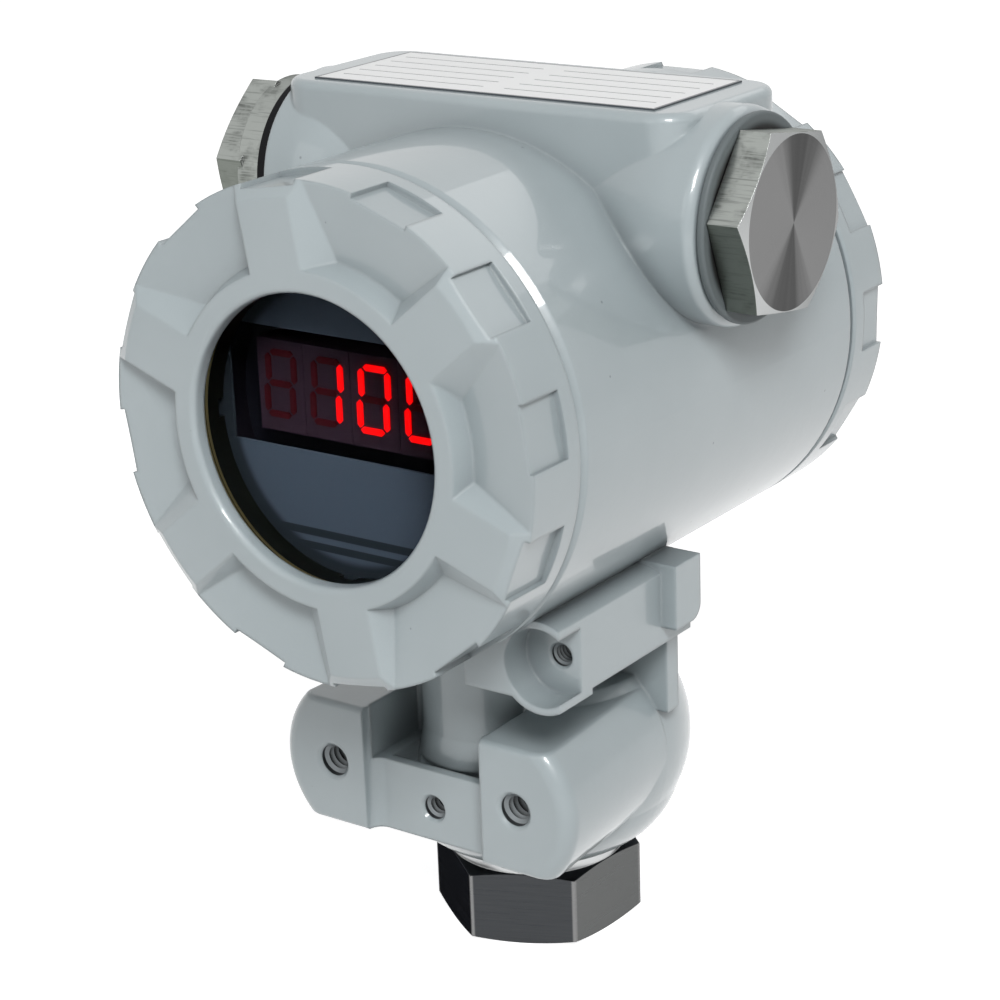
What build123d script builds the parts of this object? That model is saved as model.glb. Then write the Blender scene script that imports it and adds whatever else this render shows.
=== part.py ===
# A field pressure transmitter: a cast two-chamber housing with screwed covers, a lit
# four-digit display behind a round window, two plugged conduit entries and a hexagonal
# process connection that carries the sensing capsule.
# Millimetres. +Z is up, the display looks along -Y, the conduit entries lie along X.
# The origin is the centre of the process connection's lower face.
import math
import os

from build123d import *

# Barrel of the housing and its covers
BARREL_R = 39.4
AXIS_Z = 100.4
SEAM_FRONT = 41.5
SEAM_REAR = 41.3
SEAM_GAP = 0.4
SEAM_CHAMFER = 1.2
CHAMBER_R = 32.5
MOUTH_R = 34.3
MOUTH_DEPTH = 11.0
PARTITION_FRONT = 1.0
PARTITION_THICK = 6.0

# Cover: screwed spigot, castellated skirt and ribbed face
SPIGOT_CLEAR = 0.3
SPIGOT_LENGTH = 8.5
FRONT_RIM_H = 12.1
REAR_RIM_H = 10.3
FACE_RISE = 1.6
RIM_BEVEL = 2.6
COVER_BORE_R = 29.5
COVER_EDGE = 0.4
CASTELLATIONS = 12
CASTELLATION_W = 10.2
CASTELLATION_DEPTH = 1.1
CASTELLATION_START = 3.4
CASTELLATION_ANGLE = 21.0
REAR_TURN = 8.0
REAR_WALL = 3.2
POCKETS = 6
POCKET_ANGLE = 20.0
RIB_W = 9.8
RING_R = 26.3
RING_FOOT_R = 27.7
POCKET_DEPTH = 3.4
DRAFT_LEFT = 1.3
DRAFT_RIGHT = 0.7

# Window, from the outside in
OPENING_R = 22.65
LIP_R = 23.6
LIP_FALL = 1.0
LIP_THICK = 1.6
GLASS_BORE_R = 25.6
GLASS_R = 25.4
GLASS_THICK = 3.2
WINDOW_GASKET_THICK = 0.3
WINDOW_GASKET_R = 23.3
LOCK_RING_R = 23.7
LOCK_RING_THICK = 3.6
LOCK_RING_PROUD = 0.6
LOCK_RING_SLOT_W = 3.0
LOCK_RING_SLOT_DEPTH = 1.2

# Seals: a round section ring under each cover, a flat ring under each plug
COVER_SEAL_SECTION = 2.2
PLUG_SEAL_R = 16.2
PLUG_SEAL_ROUND = 0.5
SEAL_CLEAR = 0.15

# Conduit saddle, bosses and plugs
PAD_Z = 44.3
SADDLE_HALF_X = 38.5
SADDLE_FRONT = 12.5
SADDLE_BACK = 19.5
SADDLE_ROOT_Z = 14.0
SADDLE_ROUND = 1.5
SADDLE_CORNER = 6.0
CONDUIT_Z = 27.2
BOSS_R = 17.0
BOSS_FACE_RIGHT = 43.2
BOSS_FACE_LEFT = 38.7
BOSS_RIM = 4.5
BOSS_LIP_RIGHT = 2.0
BOSS_LIP_LEFT = 0.5
BOSS_ROOT_X = 16.0
CONDUIT_BORE_R = 10.4
CONDUIT_DEPTH = 18.0
CONDUIT_BEVEL = 0.8
WIREWAY_R = 6.0
WIREWAY_Y = 4.0
WIREWAY_DROP = 3.0
WIREWAY_END_X = 12.0
PLUG_FLATS = 27.0
PLUG_HEAD = 5.95
PLUG_BEVEL = 1.05
PLUG_CLEAR = 0.3
PLUG_SHANK = 14.0
PLUG_HOLLOW_R = 6.5
PLUG_HOLLOW_DEPTH = 12.0
PLUG_TIP_BEVEL = 1.2
PLUG_GAP_RIGHT = 1.6
PLUG_GAP_LEFT = 2.3
PLUG_COLLAR_R = 15.0
PLUG_COLLAR_LEFT = 3.8
PLUG_TURN_RIGHT = 21.1
PLUG_TURN_LEFT = 42.5

# Label on the saddle
LABEL_X = 65.0
LABEL_Y = 25.7
LABEL_CENTRE_Y = 3.2
LABEL_THICK = 0.25

# Base of the casting, measured down from the barrel axis
NECK_R = 16.5
COLUMN_R = 10.8
COLUMN_FOOT_R = 12.2
COLUMN_FRONT = 24.0
COLUMN_FLARE = 60.0
BASE_TOP = 52.6
BASE_TOP_R = 21.0
BASE_WIDE = 65.0
BASE_WIDE_R = 26.9
BASE_LOW = 75.5
BASE_LOW_R = 25.0
BASE_FOOT = 84.2
BASE_FOOT_R = 18.4
BRACKET_TOP_X = 24.6
BRACKET_WIDE_X = 29.2
BRACKET_LOW_X = 24.9
BRACKET_DRAFT = 2.2
BRACKET_WIDE = 66.5
BRACKET_FRONT = 32.2
BRACKET_TOP = 54.2
BRACKET_BOTTOM = 76.2
BRACKET_CORNER = 2.6
BRACKET_EDGE = 1.0
GAP_HALF_X = 11.8
GAP_BACK = 17.0
TONGUE_FRONT = 29.3
TONGUE_TOP = 63.6
TONGUE_FILLET = 2.4
TONGUE_THICK = 1.8
GROOVE_DEPTH = 3.2
GROOVE_HEIGHT = 1.8
GROOVE_UNDERCUT = 1.6
BRACKET_HOLE_X = 18.35
BRACKET_HOLE_DOWN = 65.06
BRACKET_HOLE_R = 2.75
BRACKET_HOLE_MOUTH_R = 3.3
BRACKET_HOLE_DEPTH = 13.0
TONGUE_HOLE_DOWN = 70.4
TONGUE_HOLE_R = 2.05
TONGUE_HOLE_MOUTH_R = 2.5
TONGUE_HOLE_DEPTH = 10.0
HOLE_BEVEL = 0.5

# Ground terminal bar on the right flank
BAR_OUT_X = 30.0
BAR_ROOT_X = 12.0
BAR_FRONT = 35.2
BAR_BACK = -3.0
BAR_TOP = 31.3
BAR_BOTTOM = 43.4
CUP_X = 26.2
CUP_DOWN = 37.7
CUP_R = 6.5
CUP_WALL = 1.2
CUP_DEPTH = 6.0
CUP_FLOOR = 3.0
GROUND_HOLE_R = 1.9
GROUND_HOLE_DEPTH = 9.0
LUG_PROUD = 2.9
LUG_FRONT = 6.0
LUG_BACK = -1.5
LUG_TOP = 29.4
LUG_BOTTOM = 40.3
LUG_ROUND = 2.6
RIB_FRONT = 0.4
RIB_FOOT = 58.0
RIB_OUT_X = 27.5

# Process connection and sensing capsule
HEX_FLATS = 31.2
HEX_HEIGHT = 13.0
HEX_BEVEL = 1.1
HEX_TURN = 24.75
COLLAR_R = 15.4
STEM_R = 12.9
STEM_TOP = 34.0
STEM_CLEAR = 0.1
PORT_R = 9.2
PORT_DEPTH = 17.0
PORT_BEVEL = 1.0
PRESSURE_HOLE_R = 1.5
CAPSULE_FLOOR = 22.0
CAPSULE_BORE_R = 10.3
CAPSULE_R = 10.1
CAPSULE_HEIGHT = 7.5
CAPSULE_SEAL_SECTION = 1.4
CAPSULE_LOCK_H = 2.6
CAPSULE_LOCK_BORE_R = 6.0
DIAPHRAGM_R = 7.0
DIAPHRAGM_THICK = 0.3
LEAD_R = 2.6
LEAD_Y = -5.0
LEAD_HOLE_R = 3.2

# Electronics behind the window
CASE_CLEAR = 1.3
CASE_WALL = 1.6
CASE_DEPTH = 7.6
BOARD_INSET = 1.2
BOARD_THICK = 1.6
FACEPLATE_FRONT = 44.7
FACEPLATE_THICK = 0.5
FACEPLATE_INSET = 0.6
DIGIT_COUNT = 4
DIGIT_PITCH = 9.0
DIGIT_W = 5.0
DIGIT_H = 9.9
DIGIT_RISE = 4.6
DIGIT_SLANT = 5.5
SEGMENT_W = 1.0
SEGMENT_GAP = 0.3
SEGMENT_THICK = 0.3
DISPLAY_WINDOW_W = 45.0
DISPLAY_WINDOW_TOP = 14.0
DISPLAY_WINDOW_BOTTOM = -5.0
FILTER_THICK = 0.5
FILTER_CLEAR = 0.1
BLOCK_RISE = 4.2
BLOCK_H = 14.6
BLOCK_GAP = 0.1
BLOCK_DEPTH = 6.6
POST_COUNT = 4
POST_INSET = 4.5
POST_R = 3.0
SCREW_R = 1.4
SCREW_HEAD_R = 2.6
SCREW_HEAD_H = 1.8
SCREW_SLACK = 0.1
SCREW_GRIP = 5.0
SCREW_HOLE_DEPTH = 6.0
STUD_GRIP = 8.0
MAIN_BOARD_BACK = 12.0
POST_ROOT_R = 3.6
CONNECTOR_W = 12.0
CONNECTOR_H = 6.0
CONNECTOR_RISE = 3.0

# Terminals in the rear chamber
TERMINAL_COUNT = 3
TERMINAL_PITCH = 11.0
TERMINAL_W = 40.0
TERMINAL_H = 18.0
TERMINAL_D = 12.0
TERMINAL_SCREW_R = 2.0
TERMINAL_HEAD_R = 3.4
TERMINAL_HEAD_H = 2.0
TERMINAL_FENCE = 1.4
TERMINAL_DOWN = 2.0
TERMINAL_TRAY = 4.0
TERMINAL_SHELF = 3.0
TERMINAL_BORE = 7.0
TERMINAL_GRIP = 6.0
CLAMP_THICK = 1.2
CLAMP_MARGIN = 0.6
SLOT_W = 0.8
THREAD_SLACK = 0.05
FIXING_X = 16.5
FIXING_DEPTH = 4.0
INNER_GROUND_X = 20.0
INNER_GROUND_DOWN = 18.0
INNER_GROUND_PAD_R = 4.5
INNER_GROUND_PAD_H = 3.0
INNER_GROUND_GRIP = 5.0
FEEDTHROUGH_R = 4.0
FEEDTHROUGH_DOWN = -16.0
FEEDTHROUGH_PROUD = 2.0
FEEDTHROUGH_RIM = 1.5


def bar_y(radius, y0, y1, x=0.0, z=AXIS_Z):
    """Round bar along Y between two stations."""
    return Pos(x, (y0 + y1) / 2, z) * Rot(90, 0, 0) * Cylinder(radius, abs(y1 - y0))


def bar_x(radius, x0, x1, y=0.0, z=0.0):
    """Round bar along X between two stations."""
    return Pos((x0 + x1) / 2, y, z) * Rot(0, 90, 0) * Cylinder(radius, abs(x1 - x0))


def bar_z(radius, z0, z1, x=0.0, y=0.0):
    """Round bar along Z between two levels."""
    return Pos(x, y, (z0 + z1) / 2) * Cylinder(radius, abs(z1 - z0))


def block(x0, x1, y0, y1, z0, z1):
    """Box between two corners."""
    centre = Pos((x0 + x1) / 2, (y0 + y1) / 2, (z0 + z1) / 2)
    return centre * Box(abs(x1 - x0), abs(y1 - y0), abs(z1 - z0))


def turned(points):
    """Closed outline of (radius, height) points turned about Z."""
    outline = Polyline(*[(r, 0, h) for r, h in points], close=True)
    return revolve(make_face(outline), Axis.Z)


def tube_y(outer, inner, y0, y1):
    """Ring about the barrel axis."""
    return bar_y(outer, y0, y1) - bar_y(inner, y0, y1)


def down(drop):
    """Level of something that lies below the barrel axis."""
    return AXIS_Z - drop


def radial(angle):
    """Unit direction on a cover's face, clockwise from the top as seen from outside."""
    turn = math.radians(angle)
    return math.sin(turn), math.cos(turn)


def front_place():
    """A cover is drawn face up; this stands it on the front seam, face towards -Y."""
    return Pos(0, -SEAM_FRONT, AXIS_Z) * Rot(90, 0, 0)


def rear_place():
    """The same for the rear seam, face towards +Y."""
    return Pos(0, SEAM_REAR, AXIS_Z) * Rot(0, 0, 180) * Rot(90, 0, 0)


# Covers

def pocket_wedge(top):
    """Space between two ribs of a cover, with drafted sides, from the face downwards."""
    depth = POCKET_DEPTH + 1
    reach = BARREL_R + 12
    faces = []
    for drop in (-1.0, depth):
        left = DRAFT_LEFT * drop
        right = DRAFT_RIGHT * drop
        tip_y = RIB_W + left + right
        tip_x = (left - right) / (2 * math.cos(math.radians(30)))
        spread = (reach - tip_y) * math.tan(math.radians(180 / POCKETS))
        corners = [(tip_x, tip_y), (tip_x + spread, reach), (tip_x - spread, reach)]
        faces.append(Pos(0, 0, top - drop) * make_face(Polyline(*corners, close=True)))
    return loft(faces, ruled=True)


def pocket_groove(top, rim):
    """Turned groove whose floor falls from the rim towards the ring round the middle."""
    out = BARREL_R + 4
    floor = top - POCKET_DEPTH
    slope = (rim - floor) / (BARREL_R - RING_FOOT_R)
    far = rim + slope * (out - BARREL_R)
    wall = (RING_FOOT_R - RING_R) / POCKET_DEPTH
    above = top + 1
    return turned([(RING_R - wall, above), (RING_R, top), (RING_FOOT_R, floor), (out, far), (out, above)])


def cover_cuts(top, rim):
    """Pockets of the face and recesses of the skirt, as one set of cutting bodies."""
    groove = pocket_groove(top, rim)
    wedge = pocket_wedge(top)
    cuts = []
    for index in range(POCKETS):
        angle = POCKET_ANGLE + index * 360 / POCKETS
        cuts.append(groove & (Rot(0, 0, -angle) * wedge))
    flat = BARREL_R - CASTELLATION_DEPTH
    half = CASTELLATION_W / 2
    recess = block(-half, half, flat, BARREL_R + 4, CASTELLATION_START, top + 2)
    for index in range(CASTELLATIONS):
        angle = CASTELLATION_ANGLE + index * 360 / CASTELLATIONS
        cuts.append(Rot(0, 0, -angle) * recess)
    return cuts


def cover_shell(rim, middle):
    """Turned cover: skirt, bevelled rim and spigot, closed by the outline of its middle."""
    top = rim + FACE_RISE
    spigot = MOUTH_R - SPIGOT_CLEAR
    outline = middle + [
        (BARREL_R - RIM_BEVEL, top),
        (BARREL_R, rim),
        (BARREL_R, COVER_EDGE),
        (BARREL_R - COVER_EDGE, 0),
        (spigot, 0),
        (spigot, COVER_EDGE - SPIGOT_LENGTH),
        (spigot - COVER_EDGE, -SPIGOT_LENGTH),
        (COVER_BORE_R, -SPIGOT_LENGTH),
    ]
    return turned(outline)


def lip_points(top):
    """Rounded lip of the window opening, from its inner edge up to the flat ring."""
    points = []
    steps = 5
    for index in range(steps + 1):
        turn = math.radians(90 * index / steps)
        r = LIP_R - (LIP_R - OPENING_R) * math.cos(turn)
        h = top - LIP_FALL + LIP_FALL * math.sin(turn)
        points.append((r, h))
    return points


def lip_back():
    """Height of the seat behind the window lip, above the front seam."""
    return FRONT_RIM_H + FACE_RISE - LIP_FALL - LIP_THICK


def front_cover():
    """Window cover with its ribbed face, threaded spigot and glass seat."""
    top = FRONT_RIM_H + FACE_RISE
    seat = lip_back()
    step = ring_back() - LOCK_RING_PROUD
    middle = [(COVER_BORE_R, step), (GLASS_BORE_R, step), (GLASS_BORE_R, seat), (OPENING_R, seat)]
    shell = cover_shell(FRONT_RIM_H, middle + lip_points(top))
    for cut in cover_cuts(top, FRONT_RIM_H):
        shell -= cut
    return front_place() * shell


def rear_cover():
    """Blind cover of the terminal chamber, with the same ribs and recesses."""
    top = REAR_RIM_H + FACE_RISE
    ceiling = top - POCKET_DEPTH - REAR_WALL
    middle = [(COVER_BORE_R, ceiling), (0, ceiling), (0, top)]
    shell = cover_shell(REAR_RIM_H, middle)
    for cut in cover_cuts(top, REAR_RIM_H):
        shell -= cut
    return rear_place() * Rot(0, 0, -REAR_TURN) * shell


def ring_back():
    """Height of the lock ring's rear face, above the front seam."""
    return lip_back() - WINDOW_GASKET_THICK - GLASS_THICK - LOCK_RING_THICK


def cover_disc(outer, inner, high, thick):
    """Flat ring or disc inside the front cover, its outer face at the given height."""
    disc = bar_z(outer, high - thick, high)
    if inner:
        disc -= bar_z(inner, high - thick, high)
    return disc


def window_gasket():
    """Thin flat gasket between the lip and the glass."""
    return front_place() * cover_disc(GLASS_R, WINDOW_GASKET_R, lip_back(), WINDOW_GASKET_THICK)


def window_glass():
    """Toughened glass disc."""
    return front_place() * cover_disc(GLASS_R, 0, lip_back() - WINDOW_GASKET_THICK, GLASS_THICK)


def window_lock_ring():
    """Ring screwed in behind the glass, with slots for a face spanner."""
    high = lip_back() - WINDOW_GASKET_THICK - GLASS_THICK
    ring = cover_disc(GLASS_R, LOCK_RING_R, high, LOCK_RING_THICK)
    half = LOCK_RING_SLOT_W / 2
    base = high - LOCK_RING_THICK
    for angle in (0, 90):
        slot = block(-GLASS_R, GLASS_R, -half, half, base, base + LOCK_RING_SLOT_DEPTH)
        ring -= Rot(0, 0, angle) * slot
    return front_place() * ring


def ring_seal(major, section):
    """Round section sealing ring about Z."""
    return Torus(major, section / 2)


def cover_seal():
    """Seal that lies round a spigot, in the bevelled corner of the barrel's mouth."""
    spigot = MOUTH_R - SPIGOT_CLEAR
    drop = COVER_SEAL_SECTION / 2 + SEAL_CLEAR
    return Pos(0, 0, -drop) * ring_seal(spigot + drop, COVER_SEAL_SECTION)


# Housing

def boss_face(side):
    """Distance of a boss's face from the middle, right for side 1 and left for side -1."""
    return BOSS_FACE_RIGHT if side > 0 else BOSS_FACE_LEFT


def plug_seat(side):
    """Distance from the middle at which a plug's collar or head begins."""
    return boss_face(side) + (PLUG_GAP_RIGHT if side > 0 else PLUG_GAP_LEFT)


def saddle():
    """Block across the top of the barrel that carries the label and both bosses."""
    low = AXIS_Z + SADDLE_ROOT_Z
    high = AXIS_Z + PAD_Z
    body = block(-SADDLE_HALF_X, SADDLE_HALF_X, -SADDLE_FRONT, SADDLE_BACK, low, high)
    body = fillet(body.edges().filter_by(Axis.Z), SADDLE_CORNER)
    body = fillet(body.faces().sort_by(Axis.Z)[-1].edges(), SADDLE_ROUND)
    return body + conduit_boss(1, BOSS_LIP_RIGHT) + conduit_boss(-1, BOSS_LIP_LEFT)


def conduit_boss(side, lip):
    """Round boss at one end of the saddle, swelling smoothly out of its front face."""
    face = boss_face(side)
    root = (SADDLE_FRONT, 0, BOSS_ROOT_X)
    rim = (BOSS_R, 0, face - BOSS_RIM)
    corner = (BOSS_R, 0, face - lip)
    end = (BOSS_R - lip, 0, face)
    turn = lip * (1 - math.sqrt(0.5))
    flare = Spline(root, rim, tangents=[(0, 0, 1), (0, 0, 1)])
    rounding = ThreePointArc(corner, (BOSS_R - turn, 0, face - turn), end)
    close = Polyline(end, (0, 0, face), (0, 0, BOSS_ROOT_X), root)
    boss = revolve(make_face([flare, Line(rim, corner), rounding, close]), Axis.Z)
    return Pos(0, 0, AXIS_Z + CONDUIT_Z) * Rot(0, side * 90, 0) * boss


def base_body():
    """Round bulged base that takes the sensor stem."""
    points = [(0, down(BASE_TOP - 4)), (NECK_R, down(BASE_TOP - 4)), (NECK_R, down(BASE_TOP))]
    start = (BASE_TOP_R, 0, down(BASE_TOP))
    wide = (BASE_WIDE_R, 0, down(BASE_WIDE))
    low = (BASE_LOW_R, 0, down(BASE_LOW))
    foot = (BASE_FOOT_R, 0, down(BASE_FOOT))
    bend = ((BASE_LOW_R + BASE_FOOT_R) / 2 + 0.9, 0, down((BASE_LOW + BASE_FOOT) / 2 + 0.6))
    head = Polyline(*[(r, 0, h) for r, h in points], start)
    side = ThreePointArc(start, wide, low)
    under = ThreePointArc(low, bend, foot)
    end = Polyline(foot, (0, 0, down(BASE_FOOT)), (0, 0, down(BASE_TOP - 4)))
    return revolve(make_face([head, side, under, end]), Axis.Z)


def neck():
    """Round neck between the base and the barrel."""
    return bar_z(NECK_R, down(BASE_TOP + 2), down(BARREL_R - 6))


def neck_column():
    """Round column that runs down the front of the neck to the tongue, with a flared foot."""
    foot = down(TONGUE_TOP + GROOVE_DEPTH) - 1
    waist = down(COLUMN_FLARE)
    top = down(BARREL_R - 8)
    points = [(0, foot), (COLUMN_FOOT_R, foot), (COLUMN_R, waist), (COLUMN_R, top), (0, top)]
    return Pos(0, COLUMN_R - COLUMN_FRONT, 0) * turned(points)


def bracket_outline(reach):
    """Front view of the two lobes as one shape with bulged sides, narrower towards the base."""
    high = down(BRACKET_TOP)
    low = down(BRACKET_BOTTOM)
    draft = BRACKET_DRAFT * (1 - reach / BRACKET_FRONT)
    top_x = BRACKET_TOP_X - draft
    wide_x = BRACKET_WIDE_X - draft
    low_x = BRACKET_LOW_X - draft
    right = ThreePointArc((top_x, high), (wide_x, down(BRACKET_WIDE)), (low_x, low))
    left = ThreePointArc((-low_x, low), (-wide_x, down(BRACKET_WIDE)), (-top_x, high))
    top = Line((-top_x, high), (top_x, high))
    bottom = Line((low_x, low), (-low_x, low))
    return Plane((0, -reach, 0), x_dir=(1, 0, 0), z_dir=(0, -1, 0)) * make_face([top, right, bottom, left])


def bracket_block():
    """Block of the two bracket lobes, its front edges rounded."""
    body = loft([bracket_outline(0), bracket_outline(BRACKET_FRONT)], ruled=True)
    rim = body.faces().sort_by(Axis.Y)[0].edges().sort_by(Axis.X)
    body = fillet([rim[0], rim[-1]], BRACKET_CORNER)
    flats = body.faces().sort_by(Axis.Y)[0].edges().filter_by(Axis.X)
    return fillet(flats, BRACKET_EDGE)


def tongue_cuts():
    """Space between the lobes: in front of the tongue, above it, and the groove behind its top."""
    half = GAP_HALF_X
    out = -BRACKET_FRONT - 1
    top = down(TONGUE_TOP)
    front = block(-half, half, out, -TONGUE_FRONT, down(BRACKET_BOTTOM) - 1, down(BRACKET_TOP) + 1)
    rear_edges = front.edges().filter_by(Axis.Z).sort_by(Axis.Y)[-2:]
    front = fillet(rear_edges, TONGUE_FILLET)
    above = block(-half, half, -TONGUE_FRONT - 1, -GAP_BACK, top, down(BASE_TOP - 6))
    groove_floor = top - GROOVE_DEPTH
    groove = block(-half + TONGUE_FILLET, half - TONGUE_FILLET, -TONGUE_FRONT + TONGUE_THICK, -GAP_BACK,
                   groove_floor, top + 1)
    return [front, above, groove]


def tongue_undercut():
    """Dark slot at the foot of the column, behind the tongue's top."""
    floor = down(TONGUE_TOP + GROOVE_DEPTH)
    half = GAP_HALF_X - TONGUE_FILLET
    back = -COLUMN_FRONT + GROOVE_UNDERCUT
    return block(-half, half, -TONGUE_FRONT + TONGUE_THICK, back, floor, floor + GROOVE_HEIGHT)


def tapped_hole(x, front, drop, radius, mouth, depth):
    """Blind tapped hole along +Y with a bevelled mouth and a drilled point."""
    points = [(0, -1), (mouth + 1, -1), (mouth, 0), (radius, HOLE_BEVEL), (radius, depth)]
    points += [(0, depth + radius * 0.6)]
    return Pos(x, -front, down(drop)) * Rot(-90, 0, 0) * turned(points)


def bracket_holes():
    """The two bracket holes and the smaller one in the tongue."""
    cuts = []
    for x in (-BRACKET_HOLE_X, BRACKET_HOLE_X):
        cuts.append(tapped_hole(x, BRACKET_FRONT, BRACKET_HOLE_DOWN, BRACKET_HOLE_R,
                                BRACKET_HOLE_MOUTH_R, BRACKET_HOLE_DEPTH))
    cuts.append(tapped_hole(0, TONGUE_FRONT, TONGUE_HOLE_DOWN, TONGUE_HOLE_R,
                            TONGUE_HOLE_MOUTH_R, TONGUE_HOLE_DEPTH))
    return cuts


def ground_bar():
    """Bar on the right flank: a screw cup in front, a lug at the rear and a rib down to the base."""
    body = block(BAR_ROOT_X, BAR_OUT_X, -BAR_FRONT, -BAR_BACK, down(BAR_BOTTOM), down(BAR_TOP))
    shell = CUP_R + CUP_WALL
    centre = down(CUP_DOWN)
    cup = bar_y(shell, -BAR_FRONT, -BAR_FRONT + CUP_DEPTH + CUP_FLOOR, CUP_X, centre)
    crown = bar_y(shell, -BAR_FRONT, -BAR_BACK, CUP_X, centre)
    crown &= block(BAR_ROOT_X, BAR_OUT_X, -BAR_FRONT, -BAR_BACK, centre, centre + 2 * shell)
    trim = block(BAR_OUT_X, BAR_OUT_X + 2 * shell, -BAR_FRONT - 1, 0, centre - 2 * shell, centre + 2 * shell)
    body += crown + (cup - trim)
    lug = block(BAR_ROOT_X, BAR_OUT_X + LUG_PROUD, -LUG_FRONT, -LUG_BACK, down(LUG_BOTTOM), down(LUG_TOP))
    corner = lug.edges().filter_by(Axis.X).sort_by(Axis.Z)[:2].sort_by(Axis.Y)[-1]
    body += fillet(corner, LUG_ROUND)
    rib = block(NECK_R - 4, RIB_OUT_X, -RIB_FRONT, -BAR_BACK, down(RIB_FOOT), down(BAR_BOTTOM - 1))
    return body + rib


def ground_cuts():
    """Cup for the ground screw head, open to the side, and its tapped hole."""
    cup = bar_y(CUP_R, -BAR_FRONT - 1, -BAR_FRONT + CUP_DEPTH, CUP_X, down(CUP_DOWN))
    hole = tapped_hole(CUP_X, BAR_FRONT - CUP_DEPTH, CUP_DOWN, GROUND_HOLE_R,
                       GROUND_HOLE_R + 0.3, GROUND_HOLE_DEPTH)
    return [cup, hole]


def barrel():
    """Plain barrel with bevelled mouths."""
    front = -SEAM_FRONT + SEAM_GAP
    rear = SEAM_REAR - SEAM_GAP
    body = bar_y(BARREL_R, front, rear)
    return chamfer(body.edges().filter_by(GeomType.CIRCLE), SEAM_CHAMFER)


def chamber_cuts():
    """Front and rear chambers with their wider threaded mouths and seal corners."""
    front = -SEAM_FRONT + SEAM_GAP
    rear = SEAM_REAR - SEAM_GAP
    corner = COVER_SEAL_SECTION + 2 * SEAL_CLEAR
    cuts = [
        bar_y(CHAMBER_R, front - 1, PARTITION_FRONT),
        bar_y(CHAMBER_R, back_wall(), rear + 1),
        bar_y(MOUTH_R, front - 1, front + MOUTH_DEPTH),
        bar_y(MOUTH_R, rear + 1, rear - MOUTH_DEPTH),
        bar_y(MOUTH_R + corner, front - 1, front + corner - SEAM_GAP),
        bar_y(MOUTH_R + corner, rear + 1, rear - corner + SEAM_GAP),
    ]
    return cuts


def conduit_cuts():
    """Conduit bores with bevelled mouths, and the wireways to the rear chamber."""
    level = AXIS_Z + CONDUIT_Z
    lane = level - WIREWAY_DROP
    cuts = []
    for side in (-1, 1):
        face = side * boss_face(side)
        mouth = CONDUIT_BORE_R + CONDUIT_BEVEL
        bore = turned([
            (0, 1), (mouth, 1), (mouth, 0), (CONDUIT_BORE_R, -CONDUIT_BEVEL),
            (CONDUIT_BORE_R, -CONDUIT_DEPTH), (0, -CONDUIT_DEPTH),
        ])
        cuts.append(Pos(face, 0, level) * Rot(0, side * 90, 0) * bore)
        inner = face - side * (CONDUIT_DEPTH - 1)
        cuts.append(bar_x(WIREWAY_R, inner, side * WIREWAY_END_X, WIREWAY_Y, lane))
        drop_x = side * (WIREWAY_END_X + WIREWAY_R)
        cuts.append(bar_y(WIREWAY_R - 1, WIREWAY_Y, back_wall() + 6, drop_x, lane))
    return cuts


def stem_cuts():
    """Bore for the process connection's stem and the way up for the sensor leads."""
    top = STEM_TOP + 0.5
    return [
        bar_z(STEM_R + STEM_CLEAR, down(BASE_FOOT) - 1, top),
        bar_z(LEAD_HOLE_R, top - 1, AXIS_Z - CHAMBER_R + 3, 0, LEAD_Y),
    ]


def case_r():
    """Outer radius of the display case, which stands inside the cover's bore."""
    return COVER_BORE_R - CASE_CLEAR


def board_r():
    """Radius of both round boards."""
    return case_r() - BOARD_INSET


def posts(radius, y0, y1):
    """Four bars on the board's screw circle."""
    bars = []
    for index in range(POST_COUNT):
        across, up = radial(45 + index * 360 / POST_COUNT)
        reach = board_r() - POST_INSET
        bars.append(bar_y(radius, y0, y1, reach * across, AXIS_Z + reach * up))
    return bars


def main_board_front():
    """Front face of the main board, as a distance in front of the barrel's middle."""
    return MAIN_BOARD_BACK + BOARD_THICK


def housing_casting():
    """The whole casting as one piece."""
    body = base_body() + bracket_block()
    for cut in tongue_cuts():
        body -= cut
    body += neck() + neck_column() + barrel() + saddle() + ground_bar()
    body -= tongue_undercut()
    for cut in chamber_cuts() + conduit_cuts() + stem_cuts() + bracket_holes() + ground_cuts():
        body -= cut
    for post in posts(POST_ROOT_R, PARTITION_FRONT + 1, -MAIN_BOARD_BACK):
        body += post
    for hole in posts(SCREW_R, PARTITION_FRONT - 1, -MAIN_BOARD_BACK - 1):
        body -= hole
    wall = back_wall()
    pad = wall + INNER_GROUND_PAD_H
    level = down(INNER_GROUND_DOWN)
    body += bar_y(INNER_GROUND_PAD_R, wall - 1, pad, INNER_GROUND_X, level)
    body -= bar_y(TERMINAL_SCREW_R, wall - FIXING_DEPTH, pad + 1, INNER_GROUND_X, level)
    body -= bar_y(FEEDTHROUGH_R, PARTITION_FRONT - 1, wall + 1, 0, down(FEEDTHROUGH_DOWN))
    for x in (-FIXING_X, FIXING_X):
        body -= bar_y(SCREW_R, wall - FIXING_DEPTH, wall + 1, x, down(TERMINAL_DOWN))
    return body


# Conduit plugs

def hex_head(flats, height, bevel, turn):
    """Hexagonal head standing on Z = 0 with its top corners turned off."""
    body = extrude(Rot(0, 0, turn) * RegularPolygon(flats / 2, 6, major_radius=False), height)
    corner = flats / math.sqrt(3)
    inner = flats / 2 - 0.15
    cone = turned([(0, 0), (corner + 1, 0), (corner + 1, height - bevel), (inner, height), (0, height)])
    return body & cone


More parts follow.
